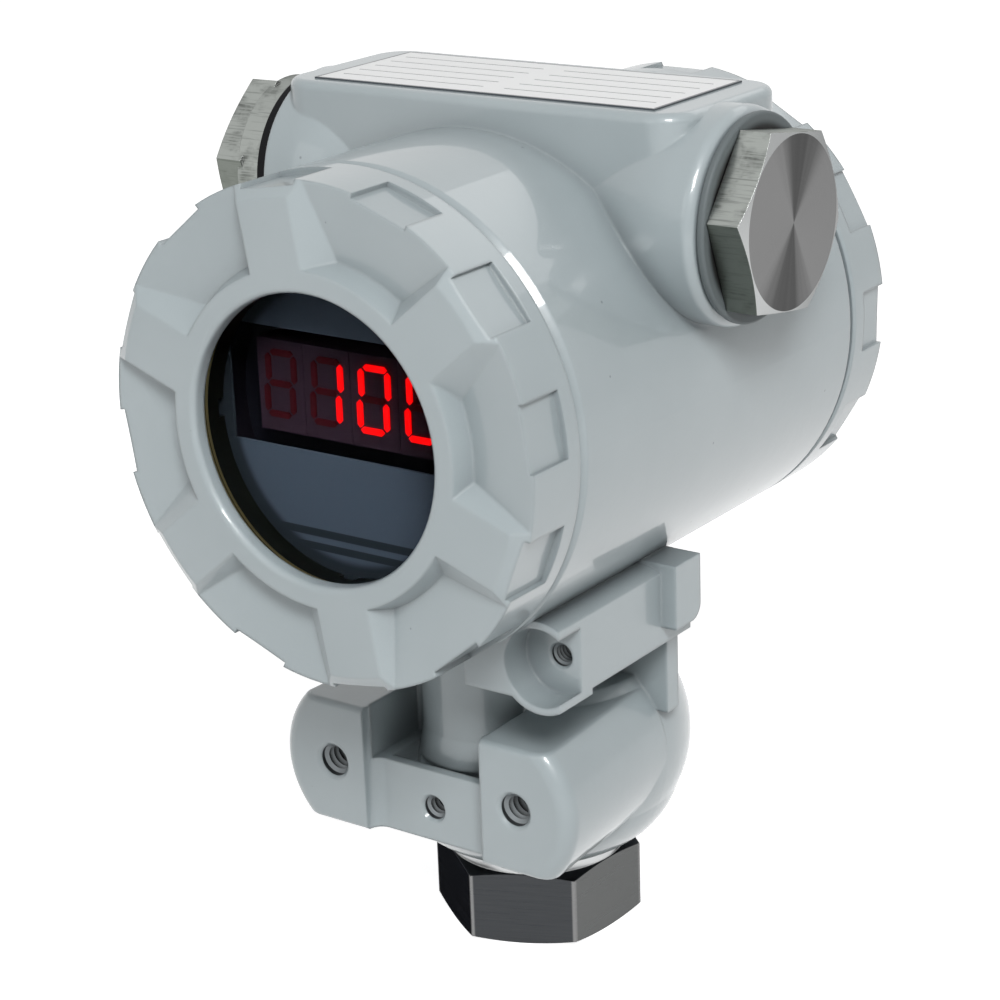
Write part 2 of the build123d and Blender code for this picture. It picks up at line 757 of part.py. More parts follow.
def conduit_plug(side, turn, collar):
    """Hollow threaded plug with a hexagonal head, on a round collar on the left."""
    head = Pos(0, 0, collar) * hex_head(PLUG_FLATS, PLUG_HEAD, PLUG_BEVEL, turn)
    shank = CONDUIT_BORE_R - PLUG_CLEAR
    tip = shank - PLUG_TIP_BEVEL
    points = [(0, 1), (shank, 1), (shank, PLUG_TIP_BEVEL - PLUG_SHANK), (tip, -PLUG_SHANK), (0, -PLUG_SHANK)]
    body = head + turned(points)
    if collar:
        body += bar_z(PLUG_COLLAR_R, 0, collar + 1)
    body -= bar_z(PLUG_HOLLOW_R, -PLUG_SHANK - 1, PLUG_HOLLOW_DEPTH - PLUG_SHANK)
    return Pos(side * plug_seat(side), 0, AXIS_Z + CONDUIT_Z) * Rot(0, side * 90, 0) * body


def plug_seal(side):
    """Flat rubber ring between a boss and its plug, with rounded edges."""
    low = boss_face(side) + SEAL_CLEAR
    high = plug_seat(side) - SEAL_CLEAR
    ring = bar_z(PLUG_SEAL_R, low, high)
    ring = fillet(ring.edges().filter_by(GeomType.CIRCLE), PLUG_SEAL_ROUND)
    ring -= bar_z(CONDUIT_BORE_R - PLUG_CLEAR + SEAL_CLEAR, low - 1, high + 1)
    return Pos(0, 0, AXIS_Z + CONDUIT_Z) * Rot(0, side * 90, 0) * ring


def label_plate():
    """Thin label stuck on the saddle's pad."""
    low = AXIS_Z + PAD_Z
    half_x = LABEL_X / 2
    half_y = LABEL_Y / 2
    return block(-half_x, half_x, LABEL_CENTRE_Y - half_y, LABEL_CENTRE_Y + half_y, low, low + LABEL_THICK)


# Process connection and capsule

def process_connection():
    """Hexagon, turned collar and stem in one piece, bored for the pipe and the capsule."""
    head = hex_head(HEX_FLATS, HEX_HEIGHT, HEX_BEVEL, HEX_TURN)
    flipped = hex_head(HEX_FLATS, HEX_HEIGHT, HEX_BEVEL, -HEX_TURN)
    head = head & (Pos(0, 0, HEX_HEIGHT) * Rot(180, 0, 0) * flipped)
    foot = down(BASE_FOOT)
    body = head + bar_z(COLLAR_R, HEX_HEIGHT - 1, foot) + bar_z(STEM_R, foot - 1, STEM_TOP)
    port = turned([
        (0, -1), (PORT_R + PORT_BEVEL + 1, -1), (PORT_R, PORT_BEVEL), (PORT_R, PORT_DEPTH),
        (0, PORT_DEPTH + 2),
    ])
    body -= port
    body -= bar_z(PRESSURE_HOLE_R, PORT_DEPTH - 1, CAPSULE_FLOOR + 1)
    body -= bar_z(CAPSULE_BORE_R, CAPSULE_FLOOR, STEM_TOP + 1)
    return body


def capsule_seal():
    """Seal on the floor of the capsule bore."""
    major = CAPSULE_R - CAPSULE_SEAL_SECTION / 2 - 0.3
    return Pos(0, 0, CAPSULE_FLOOR + CAPSULE_SEAL_SECTION / 2) * ring_seal(major, CAPSULE_SEAL_SECTION)


def capsule_low():
    """Level of the capsule's lower face."""
    return CAPSULE_FLOOR + CAPSULE_SEAL_SECTION


def sensor_capsule():
    """Steel capsule that holds the sensing cell."""
    return bar_z(CAPSULE_R, capsule_low(), capsule_low() + CAPSULE_HEIGHT)


def sensor_diaphragm():
    """Isolating diaphragm welded to the capsule's lower face."""
    return bar_z(DIAPHRAGM_R, capsule_low() - DIAPHRAGM_THICK, capsule_low())


def capsule_lock_ring():
    """Threaded ring that holds the capsule down."""
    low = capsule_low() + CAPSULE_HEIGHT
    high = low + CAPSULE_LOCK_H
    return bar_z(CAPSULE_R, low, high) - bar_z(CAPSULE_LOCK_BORE_R + 2, low, high)


def sensor_lead_sleeve():
    """Sleeve with the sensor leads, from the capsule up to the main board's connector."""
    return bar_z(LEAD_R, capsule_low() + CAPSULE_HEIGHT, connector_low(), 0, LEAD_Y)


def connector_low():
    """Level of the lower face of the sensor connector."""
    return AXIS_Z - board_r() + CONNECTOR_RISE


# Display and boards

def main_board():
    """Round board on the four cast posts, clear of the sensor leads."""
    board = bar_y(board_r(), -main_board_front(), -MAIN_BOARD_BACK)
    for hole in posts(SCREW_R + SCREW_SLACK, -main_board_front() - 1, -MAIN_BOARD_BACK + 1):
        board -= hole
    return board


def sensor_connector():
    """Connector on the rear of the main board, over the sensor leads."""
    half = CONNECTOR_W / 2
    low = connector_low()
    return block(-half, half, -MAIN_BOARD_BACK, LEAD_Y + LEAD_R, low, low + CONNECTOR_H)


def display_board_front():
    """Front face of the display board, as a distance in front of the barrel's middle."""
    return FACEPLATE_FRONT - FACEPLATE_THICK - CASE_DEPTH


def display_board():
    """Round board that carries the digits."""
    front = display_board_front()
    board = bar_y(board_r(), -front, -front + BOARD_THICK)
    for hole in posts(SCREW_R + SCREW_SLACK, -front - 1, -front + BOARD_THICK + 1):
        board -= hole
    return board


def display_pillars():
    """Pillars between the two boards, their studs through the main board into the casting."""
    front = display_board_front() - BOARD_THICK
    pillars = []
    studs = posts(SCREW_R, -main_board_front() - 1, -MAIN_BOARD_BACK + STUD_GRIP)
    for pillar, stud in zip(posts(POST_R, -front, -main_board_front()), studs):
        pillars.append(pillar + stud)
    for index, hole in enumerate(posts(SCREW_R, -front - 1, -front + SCREW_HOLE_DEPTH)):
        pillars[index] -= hole
    return Compound(children=pillars)


def display_screws():
    """Screws through the display board into the pillars."""
    front = display_board_front()
    screws = []
    heads = posts(SCREW_HEAD_R, -front - SCREW_HEAD_H, -front)
    for head, shank in zip(heads, posts(SCREW_R, -front - SCREW_SLACK, -front + BOARD_THICK + SCREW_GRIP)):
        screws.append(head + shank)
    return Compound(children=screws)


def digit_centres():
    """Sideways places of the digits."""
    middle = (DIGIT_COUNT - 1) / 2
    return [(index - middle) * DIGIT_PITCH for index in range(DIGIT_COUNT)]


def digit_blocks():
    """Cast light blocks of the digits, side by side on the display board."""
    board = display_board_front()
    blocks = []
    for x in digit_centres():
        low = AXIS_Z + BLOCK_RISE - BLOCK_H / 2
        half = (DIGIT_PITCH - BLOCK_GAP) / 2
        blocks.append(block(x - half, x + half, -board - BLOCK_DEPTH, -board, low, low + BLOCK_H))
    return Compound(children=blocks)


def segment_bar(length):
    """One segment of a digit, lying along X, with pointed ends."""
    half = length / 2 - SEGMENT_GAP
    w = SEGMENT_W / 2
    upper = [(-half, 0), (-half + w, w), (half - w, w), (half, 0)]
    lower = [(half - w, -w), (-half + w, -w)]
    return make_face(Polyline(*upper, *lower, close=True))


def segment_faces():
    """The seven segments of a digit about its middle: top, upper left and so on."""
    w = DIGIT_W
    h = DIGIT_H / 2
    places = {
        "a": (0, h, 0, w), "g": (0, 0, 0, w), "d": (0, -h, 0, w),
        "f": (-w / 2, h / 2, 90, h), "b": (w / 2, h / 2, 90, h),
        "e": (-w / 2, -h / 2, 90, h), "c": (w / 2, -h / 2, 90, h),
    }
    slant = math.tan(math.radians(DIGIT_SLANT))
    faces = {}
    for name, (x, y, turn, length) in places.items():
        faces[name] = Pos(x + y * slant, y, 0) * Rot(0, 0, turn) * segment_bar(length)
    return faces


def digit_segments(lit):
    """Light bars of all digits, those of the reading 100 or those that stay dark."""
    reading = ["", "bc", "abcdef", "abcdef"]
    front = display_board_front() + BLOCK_DEPTH
    solids = []
    for x, shown in zip(digit_centres(), reading):
        place = Pos(x, -front, AXIS_Z + DIGIT_RISE) * Rot(90, 0, 0)
        for name, face in segment_faces().items():
            if (name in shown) == lit:
                solids.append(place * extrude(face, SEGMENT_THICK))
    return Compound(children=solids)


def display_filter():
    """Dark filter disc behind the faceplate, inside the case."""
    back = -FACEPLATE_FRONT + FACEPLATE_THICK
    return bar_y(case_r() - CASE_WALL - FILTER_CLEAR, back, back + FILTER_THICK)


def display_faceplate():
    """Printed disc with the window for the digits."""
    plate = bar_y(case_r() - FACEPLATE_INSET, -FACEPLATE_FRONT, -FACEPLATE_FRONT + FACEPLATE_THICK)
    half = DISPLAY_WINDOW_W / 2
    plate -= block(-half, half, -FACEPLATE_FRONT - 1, -FACEPLATE_FRONT + FACEPLATE_THICK + 1,
                   AXIS_Z + DISPLAY_WINDOW_BOTTOM, AXIS_Z + DISPLAY_WINDOW_TOP)
    return plate


def display_case():
    """Black ring between the display board and the faceplate."""
    front = -FACEPLATE_FRONT + FACEPLATE_THICK
    return tube_y(case_r(), case_r() - CASE_WALL, front, -display_board_front())


# Rear chamber

def back_wall():
    """Rear face of the partition."""
    return PARTITION_FRONT + PARTITION_THICK


def terminal_xs():
    """Sideways places of the terminals."""
    middle = (TERMINAL_COUNT - 1) / 2
    return [(index - middle) * TERMINAL_PITCH for index in range(TERMINAL_COUNT)]


def terminal_tray():
    """Station of the floor on which the clamping plates lie."""
    return back_wall() + TERMINAL_D - TERMINAL_TRAY


def terminal_block():
    """Moulded block with fences between its terminals."""
    half = TERMINAL_W / 2
    low = down(TERMINAL_DOWN) - TERMINAL_H / 2
    tray = terminal_tray()
    open_end = back_wall() + TERMINAL_D + 1
    body = block(-half, half, back_wall(), back_wall() + TERMINAL_D, low, low + TERMINAL_H)
    for x in terminal_xs():
        reach = TERMINAL_PITCH / 2 - TERMINAL_FENCE / 2
        body -= block(x - reach, x + reach, tray, open_end, low - 1, low + TERMINAL_H - TERMINAL_SHELF)
        body -= bar_y(TERMINAL_SCREW_R, tray - TERMINAL_BORE, tray + 1, x, down(TERMINAL_DOWN))
    for x in (-FIXING_X, FIXING_X):
        body -= bar_y(SCREW_R + SCREW_SLACK, back_wall() - 1, open_end, x, down(TERMINAL_DOWN))
    return body


def pan_screw(x, z, seat, radius, head_r, head_h, length):
    """Slotted pan head screw along Y, its head on the given seat."""
    body = bar_y(head_r, seat, seat + head_h, x, z) + bar_y(radius, seat - length, seat + head_h / 2, x, z)
    half = SLOT_W / 2
    body -= block(x - head_r - 1, x + head_r + 1, seat + head_h / 2, seat + head_h + 1, z - half, z + half)
    return body


def terminal_screws():
    """Wire clamping screws of the terminals."""
    screws = [
        pan_screw(x, down(TERMINAL_DOWN), terminal_tray() + CLAMP_THICK, TERMINAL_SCREW_R - THREAD_SLACK,
                  TERMINAL_HEAD_R, TERMINAL_HEAD_H, TERMINAL_GRIP)
        for x in terminal_xs()
    ]
    return Compound(children=screws)


def terminal_clamps():
    """Square clamping plates under the terminal screws."""
    tray = terminal_tray()
    half = TERMINAL_HEAD_R + CLAMP_MARGIN
    level = down(TERMINAL_DOWN)
    top = tray + CLAMP_THICK
    plates = []
    for x in terminal_xs():
        plate = block(x - half, x + half, tray, top, level - half, level + half)
        plates.append(plate - bar_y(TERMINAL_SCREW_R + SCREW_SLACK, tray - 1, top + 1, x, level))
    return Compound(children=plates)


def inner_ground_screw():
    """Ground screw of the rear chamber on its cast pad."""
    seat = back_wall() + INNER_GROUND_PAD_H
    return pan_screw(INNER_GROUND_X, down(INNER_GROUND_DOWN), seat, TERMINAL_SCREW_R - THREAD_SLACK,
                     TERMINAL_HEAD_R, TERMINAL_HEAD_H, INNER_GROUND_GRIP)


def feedthrough():
    """Sealed bush that carries the wiring through the partition."""
    level = down(FEEDTHROUGH_DOWN)
    proud = FEEDTHROUGH_PROUD
    body = bar_y(FEEDTHROUGH_R - THREAD_SLACK, PARTITION_FRONT - proud, back_wall() + proud, 0, level)
    body += bar_y(FEEDTHROUGH_R + FEEDTHROUGH_RIM, back_wall(), back_wall() + proud, 0, level)
    return body


NODES = {
    "housing_casting": housing_casting,
    "front_cover": front_cover,
    "front_cover_seal": lambda: front_place() * cover_seal(),
    "window_gasket": window_gasket,
    "window_glass": window_glass,
    "window_lock_ring": window_lock_ring,
    "rear_cover": rear_cover,
    "rear_cover_seal": lambda: rear_place() * cover_seal(),
    "conduit_plug_left": lambda: conduit_plug(-1, PLUG_TURN_LEFT, PLUG_COLLAR_LEFT),
    "conduit_plug_right": lambda: conduit_plug(1, PLUG_TURN_RIGHT, 0),
    "plug_seal_left": lambda: plug_seal(-1),
    "plug_seal_right": lambda: plug_seal(1),
    "label_plate": label_plate,
    "process_connection": process_connection,
    "capsule_seal": capsule_seal,
    "sensor_capsule": sensor_capsule,
    "sensor_diaphragm": sensor_diaphragm,
    "capsule_lock_ring": capsule_lock_ring,
    "sensor_lead_sleeve": sensor_lead_sleeve,
    "sensor_connector": sensor_connector,
    "main_board": main_board,
    "display_board": display_board,
    "display_pillars": display_pillars,
    "display_screws": display_screws,
    "digit_blocks": digit_blocks,
    "digit_segments_lit": lambda: digit_segments(True),
    "digit_segments_dark": lambda: digit_segments(False),
    "display_filter": display_filter,
    "display_faceplate": display_faceplate,
    "display_case": display_case,
    "terminal_block": terminal_block,
    "terminal_clamps": terminal_clamps,
    "terminal_screws": terminal_screws,
    "inner_ground_screw": inner_ground_screw,
    "feedthrough": feedthrough,
}

os.makedirs("parts", exist_ok=True)
for name, make in NODES.items():
    export_step(make(), f"parts/{name}.step")
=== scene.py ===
# %% [markdown]
# # A pressure transmitter, finished for the camera
# The real instrument is a cast aluminium housing in glossy grey enamel, with two screwed covers, steel
# plugs in its conduit entries and a steel hexagon below. Its shapes come from the CAD model. This lesson
# gives each of them its finish, its threads, its print and its light.
# Everything is in metres. The display looks along -Y and the conduit entries lie along X.

# %% Load the frame
import math

import bmesh
import bpy
from mathutils import Matrix, Vector


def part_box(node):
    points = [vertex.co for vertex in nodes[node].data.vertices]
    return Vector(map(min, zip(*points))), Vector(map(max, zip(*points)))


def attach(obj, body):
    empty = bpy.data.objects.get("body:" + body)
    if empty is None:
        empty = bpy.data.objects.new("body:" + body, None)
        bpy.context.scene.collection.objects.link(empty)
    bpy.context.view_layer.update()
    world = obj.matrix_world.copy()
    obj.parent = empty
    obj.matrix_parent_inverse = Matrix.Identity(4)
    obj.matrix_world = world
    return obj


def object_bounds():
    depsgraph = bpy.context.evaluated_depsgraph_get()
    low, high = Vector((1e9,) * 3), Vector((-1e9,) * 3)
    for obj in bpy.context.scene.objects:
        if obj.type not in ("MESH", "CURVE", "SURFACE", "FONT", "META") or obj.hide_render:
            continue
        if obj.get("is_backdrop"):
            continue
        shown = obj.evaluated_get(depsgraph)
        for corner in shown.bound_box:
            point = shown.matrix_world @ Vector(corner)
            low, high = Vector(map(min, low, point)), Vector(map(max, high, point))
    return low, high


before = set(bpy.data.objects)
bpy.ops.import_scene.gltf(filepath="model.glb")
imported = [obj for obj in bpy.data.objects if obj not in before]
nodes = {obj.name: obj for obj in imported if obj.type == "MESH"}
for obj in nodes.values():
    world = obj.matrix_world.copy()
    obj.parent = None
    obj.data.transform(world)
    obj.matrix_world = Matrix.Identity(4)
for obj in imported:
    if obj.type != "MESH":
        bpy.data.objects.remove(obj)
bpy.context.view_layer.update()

# %% [markdown]
# ## Camera
# The photograph was taken from the front right, a little above, with a long lens. A camera can be placed
# by hand until the outlines agree, or worked out from measured points. Here the position, the lens and
# the small roll come from such points, so they are given as plain values.

# %% Camera
AIM = Vector((-0.00542, 0.0, 0.07386))
DISTANCE = 0.44395
AZIMUTH = math.radians(35.89)
ELEVATION = math.radians(19.19)
ROLL = math.radians(-2.07)
LENS = 94.94
SENSOR_WIDTH = 36
NEAREST = 0.01


def direction(azimuth, elevation):
    """Unit vector towards a place seen at this azimuth from -Y towards +X, and this elevation."""
    flat = math.cos(elevation)
    return Vector((math.sin(azimuth) * flat, -math.cos(azimuth) * flat, math.sin(elevation)))


back = direction(AZIMUTH, ELEVATION)
level = Vector((math.cos(AZIMUTH), math.sin(AZIMUTH), 0))
upright = back.cross(level)
across = math.cos(ROLL) * level + math.sin(ROLL) * upright
up = math.cos(ROLL) * upright - math.sin(ROLL) * level

camera_data = bpy.data.cameras.new("camera")
camera_data.lens = LENS
camera_data.sensor_width = SENSOR_WIDTH
camera_data.clip_start = NEAREST
camera = bpy.data.objects.new("camera", camera_data)
turn = Matrix((across, up, back)).transposed().to_4x4()
camera.matrix_world = Matrix.Translation(AIM + DISTANCE * back) @ turn
bpy.context.scene.collection.objects.link(camera)
bpy.context.scene.camera = camera
bpy.context.scene.view_settings.view_transform = "Standard"
print("camera stands at", [round(v, 3) for v in camera.matrix_world.translation])

# %% [markdown]
# ## Node helpers
# A finish is a small network of nodes. A few short helpers keep the lesson readable: they add a node, a
# calculation, a mix or a group with named sockets. Groups only put out masks, heights and colours. The
# shader itself always stays in the material.

# %% Adding nodes
def add(tree, kind, **settings):
    """Add a node and set its properties."""
    made = tree.nodes.new(kind)
    for key, value in settings.items():
        setattr(made, key, value)
    return made


def feed(tree, socket, value):
    """Link an output into a socket, or set the socket's own value."""
    if isinstance(value, bpy.types.NodeSocket):
        tree.links.new(value, socket)
    else:
        socket.default_value = value


def calc(tree, operation, *values, clamp=False):
    """A math node; the values are numbers or outputs."""
    made = add(tree, "ShaderNodeMath", operation=operation, use_clamp=clamp)
    for socket, value in zip(made.inputs, values):
        feed(tree, socket, value)
    return made.outputs[0]


def vector_calc(tree, operation, first, second):
    """A vector math node and its outputs."""
    made = add(tree, "ShaderNodeVectorMath", operation=operation)
    feed(tree, made.inputs[0], first)
    feed(tree, made.inputs[1], second)
    return made.outputs


def between(tree, value, low, high, out_low=0.0, out_high=1.0):
    """Spread a value smoothly from one span to another."""
    made = add(tree, "ShaderNodeMapRange", interpolation_type="SMOOTHSTEP")
    for socket, number in zip(made.inputs, (value, low, high, out_low, out_high)):
        feed(tree, socket, number)
    return made.outputs[0]


def mix_colour(tree, factor, first, second):
    """Mix two colours by a factor; a colour is three numbers or an output."""
    made = add(tree, "ShaderNodeMix", data_type="RGBA")
    feed(tree, made.inputs["Factor"], factor)
    for socket, colour in zip((made.inputs[6], made.inputs[7]), (first, second)):
        feed(tree, socket, (*colour, 1) if isinstance(colour, tuple) else colour)
    return made.outputs[2]


def noise(tree, place, scale, detail=2.0):
    """A noise texture's value at a place."""
    made = add(tree, "ShaderNodeTexNoise")
    feed(tree, made.inputs["Vector"], place)
    feed(tree, made.inputs["Scale"], scale)
    made.inputs["Detail"].default_value = detail
    return made.outputs[0]


def split(tree, place):
    """The three parts of a vector."""
    made = add(tree, "ShaderNodeSeparateXYZ")
    feed(tree, made.inputs[0], place)
    return made.outputs


# %% Groups and finishes
EDGE_SAMPLES = 6


def new_group(name, inputs, outputs):
    """A node group with named sockets; three numbers stand for a vector."""
    tree = bpy.data.node_groups.new(name, "ShaderNodeTree")
    for key, value in inputs.items():
        kind = "NodeSocketVector" if isinstance(value, tuple) else "NodeSocketFloat"
        tree.interface.new_socket(key, in_out="INPUT", socket_type=kind).default_value = value
    for key in outputs:
        tree.interface.new_socket(key, in_out="OUTPUT", socket_type="NodeSocketFloat")
    print("group", name, "gives", outputs)
    inside = tree.nodes.new("NodeGroupInput").outputs
    return tree, inside, tree.nodes.new("NodeGroupOutput").inputs


def use_group(tree, group, **values):
    """Place a group in a material; underscores stand for spaces."""
    made = add(tree, "ShaderNodeGroup", node_tree=group)
    for key, value in values.items():
        feed(tree, made.inputs[key.replace("_", " ")], value)
    return made.outputs


def new_finish(name, **values):
    """A material, its node tree, its shader and the place on the object, with constants on the shader."""
    material = bpy.data.materials.new(name)
    material.use_nodes = True
    tree = material.node_tree
    shader = tree.nodes["Principled BSDF"]
    for key, value in values.items():
        socket = shader.inputs[key.replace("_", " ")]
        socket.default_value = (*value, 1) if isinstance(value, tuple) else value
    place = add(tree, "ShaderNodeTexCoord").outputs["Object"]
    return material, tree, shader, place


def bump(tree, shader, height, strength, distance, round_edge=None):
    """Feed a height to the shader's normal, over edges softened by a round radius."""
    made = add(tree, "ShaderNodeBump")
    feed(tree, made.inputs["Height"], height)
    made.inputs["Strength"].default_value = strength
    made.inputs["Distance"].default_value = distance
    if round_edge:
        soft = add(tree, "ShaderNodeBevel", samples=EDGE_SAMPLES)
        soft.inputs["Radius"].default_value = round_edge
        tree.links.new(soft.outputs[0], made.inputs["Normal"])
    tree.links.new(made.outputs[0], shader.inputs["Normal"])


def dress(material, *names):
    """Give the material to CAD nodes or to new pieces."""
    for name in names:
        piece = nodes[name] if name in nodes else bpy.data.objects[name]
        if not piece.material_slots:
            piece.data.materials.append(material)
        for place in piece.material_slots:
            place.material = material
    print(material.name, "on", ", ".join(names))


# %% [markdown]
# ## Floor, backdrop and light
# The photograph has a clean white ground. The floor adds a white of its own to the camera's rays, and to
# the rays that metal and glass send out, so it shows white and still darkens in the object's shadow. The
# brightest faces of the housing look to the front and to the right, so the key lamp stands there, and a
# low fill keeps the underside readable. The broad gleam on top of the barrel mirrors a lamp behind it.

# %% Floor and world
FLOOR_SIZE = 8
FLOOR_GREY = (0.72, 0.72, 0.72)
FLOOR_WHITE = 0.84
WORLD_LEVEL = 0.22
NO_BOUNCE = 0.5  # a depth is a whole number, so anything below this is none


def seen_directly(tree):
    """1 for the camera's rays and the ones metal and glass send on, 0 once a matt face has been met."""
    path = add(tree, "ShaderNodeLightPath").outputs
    seen = calc(tree, "ADD", path["Is Camera Ray"], path["Is Glossy Ray"])
    seen = calc(tree, "ADD", seen, path["Is Transmission Ray"], clamp=True)
    return calc(tree, "MULTIPLY", seen, calc(tree, "LESS_THAN", path["Diffuse Depth"], NO_BOUNCE))


bpy.ops.mesh.primitive_plane_add(size=FLOOR_SIZE)
floor = bpy.context.object
floor.name = "floor"
floor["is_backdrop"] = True
pale_floor, tree, shader, _ = new_finish(
    "pale_floor", Base_Color=FLOOR_GREY, Roughness=0.9, Specular_IOR_Level=0.0, Emission_Color=(1, 1, 1)
)
floor_level = calc(tree, "MULTIPLY", seen_directly(tree), FLOOR_WHITE)
feed(tree, shader.inputs["Emission Strength"], floor_level)
dress(pale_floor, "floor")

world = bpy.data.worlds.new("studio")
world.use_nodes = True
bpy.context.scene.world = world
sky = world.node_tree
background = sky.nodes["Background"]
background.inputs["Color"].default_value = (1, 1, 1, 1)
sky_level = calc(sky, "MULTIPLY_ADD", seen_directly(sky), 1 - WORLD_LEVEL, WORLD_LEVEL)
feed(sky, background.inputs["Strength"], sky_level)

# %% Lamps
CENTRE = Vector((0, 0, 0.085))


def lamp(name, azimuth, elevation, distance, size, power):
    """A soft rectangular lamp that looks at the object's centre."""
    data = bpy.data.lights.new(name, "AREA")
    data.shape = "RECTANGLE"
    data.size, data.size_y = size
    data.energy = power
    made = bpy.data.objects.new(name, data)
    towards = direction(math.radians(azimuth), math.radians(elevation))
    facing = towards.to_track_quat("Z", "Y")
    made.matrix_world = Matrix.Translation(CENTRE + distance * towards) @ facing.to_matrix().to_4x4()
    bpy.context.scene.collection.objects.link(made)


lamp("key_softbox", 42, 40, 1.2, (0.36, 0.36), 11.5)
lamp("front_fill", -15, 22, 1.4, (0.7, 0.7), 1.5)
lamp("back_softbox", 172, 40, 1.1, (0.8, 0.3), 0.8)

# %% [markdown]
# ## Shared effects
# The enamel has a faint orange peel, a slow waviness of the casting below it and a few pinholes. Screwed
# parts show a thread, and steel shows either turned rings or drawn lines. Each effect is one group that
# several finishes place with their own values.

# %% Enamel skin
PIN_SCALE = 260
PIN_SHARE = 0.86
PIN_EDGE = (0.035, 0.075)
PIN_DEPTH = -2.0
SHADE_SCALE = 35.0
SHADE_SPAN = (0.3, 0.7)


def make_enamel_skin():
    """Height of a painted or moulded skin, its pinholes and a soft shade over the piece."""
    tree, inside, out = new_group(
        "enamel_skin",
        {"Vector": (0, 0, 0), "Peel Scale": 900.0, "Wave Scale": 70.0, "Wave Height": 9.0},
        ["Height", "Pinholes", "Shade"],
    )
    peel = noise(tree, inside["Vector"], inside["Peel Scale"])
    waves = noise(tree, inside["Vector"], inside["Wave Scale"])
    pins = add(tree, "ShaderNodeTexVoronoi")
    feed(tree, pins.inputs["Vector"], inside["Vector"])
    pins.inputs["Scale"].default_value = PIN_SCALE
    chosen = add(tree, "ShaderNodeSeparateColor")
    feed(tree, chosen.inputs[0], pins.outputs["Color"])
    few = calc(tree, "GREATER_THAN", chosen.outputs[0], PIN_SHARE)
    hole = calc(tree, "MULTIPLY", between(tree, pins.outputs["Distance"], *PIN_EDGE, 1.0, 0.0), few)
    height = calc(tree, "MULTIPLY_ADD", waves, inside["Wave Height"], peel)
    feed(tree, out["Height"], calc(tree, "MULTIPLY_ADD", hole, PIN_DEPTH, height))
    feed(tree, out["Pinholes"], hole)
    shade = noise(tree, inside["Vector"], SHADE_SCALE, 3.0)
    feed(tree, out["Shade"], between(tree, shade, *SHADE_SPAN))
    return tree


enamel_skin = make_enamel_skin()

# %% Screw thread
def make_thread():
    """Height of a thread round a line along an axis, and a mask for its ring and length."""
    tree, inside, out = new_group(
        "screw_thread",
        {"Vector": (0, 0, 0), "Centre": (0, 0, 0), "Turn": (0, 0, 0), "Pitch": 0.001, "Inner": 0.0,
         "Outer": 0.003, "Start": 0.0, "End": 0.01},
        ["Height", "Mask"],
    )
    moved = vector_calc(tree, "SUBTRACT", inside["Vector"], inside["Centre"])[0]
    turned = add(tree, "ShaderNodeVectorRotate", rotation_type="EULER_XYZ")
    feed(tree, turned.inputs["Vector"], moved)
    feed(tree, turned.inputs["Rotation"], inside["Turn"])
    x, y, z = split(tree, turned.outputs[0])
    angle = calc(tree, "DIVIDE", calc(tree, "ARCTAN2", y, x), 2 * math.pi)
    steps = calc(tree, "ADD", calc(tree, "DIVIDE", z, inside["Pitch"]), angle)
    feed(tree, out["Height"], calc(tree, "PINGPONG", steps, 0.5))
    squares = calc(tree, "ADD", calc(tree, "POWER", x, 2.0), calc(tree, "POWER", y, 2.0))
    radius = calc(tree, "SQRT", squares)
    near = calc(tree, "LESS_THAN", radius, inside["Outer"])
    far = calc(tree, "GREATER_THAN", radius, inside["Inner"])
    after = calc(tree, "GREATER_THAN", z, inside["Start"])
    before = calc(tree, "LESS_THAN", z, inside["End"])
    ring = calc(tree, "MULTIPLY", near, far)
    feed(tree, out["Mask"], calc(tree, "MULTIPLY", ring, calc(tree, "MULTIPLY", after, before)))
    return tree


screw_thread = make_thread()

# %% Turned and drawn steel
RING_DETAIL = 3
STAIN_SPAN = (0.45, 0.7)


def make_turned():
    """Fine rings round an axis, as a lathe leaves them, and the radius they follow."""
    tree, inside, out = new_group(
        "turned_rings",
        {"Vector": (0, 0, 0), "Centre": (0, 0, 0), "Axis": (1, 0, 0), "Rings": 2200.0},
        ["Height", "Radius"],
    )
    moved = vector_calc(tree, "SUBTRACT", inside["Vector"], inside["Centre"])[0]
    swept = vector_calc(tree, "CROSS_PRODUCT", moved, inside["Axis"])[0]
    radius = vector_calc(tree, "LENGTH", swept, (0, 0, 0))["Value"]
    rings = add(tree, "ShaderNodeTexNoise", noise_dimensions="1D")
    feed(tree, rings.inputs["W"], radius)
    feed(tree, rings.inputs["Scale"], inside["Rings"])
    rings.inputs["Detail"].default_value = RING_DETAIL
    feed(tree, out["Height"], rings.outputs[0])
    feed(tree, out["Radius"], radius)
    return tree


def make_drawn():
    """Streaks along one direction, as on bar stock drawn through a die, and dark stains."""
    tree, inside, out = new_group(
        "drawn_lines",
        {"Vector": (0, 0, 0), "Stretch": (60, 2200, 2200), "Stain Scale": 180.0},
        ["Height", "Stain"],
    )
    scaled = vector_calc(tree, "MULTIPLY", inside["Vector"], inside["Stretch"])[0]
    feed(tree, out["Height"], noise(tree, scaled, 1.0, 4.0))
    stain = noise(tree, inside["Vector"], inside["Stain Scale"], 5.0)
    feed(tree, out["Stain"], between(tree, stain, *STAIN_SPAN))
    return tree


def make_facing():
    """How squarely a face looks along an axis, whichever way round."""
    tree, inside, out = new_group("facing", {"Normal": (0, 0, 1), "Axis": (0, 0, 1)}, ["Amount"])
    dot = vector_calc(tree, "DOT_PRODUCT", inside["Normal"], inside["Axis"])["Value"]
    feed(tree, out["Amount"], calc(tree, "ABSOLUTE", dot))
    return tree


turned_rings = make_turned()
drawn_lines = make_drawn()
facing = make_facing()

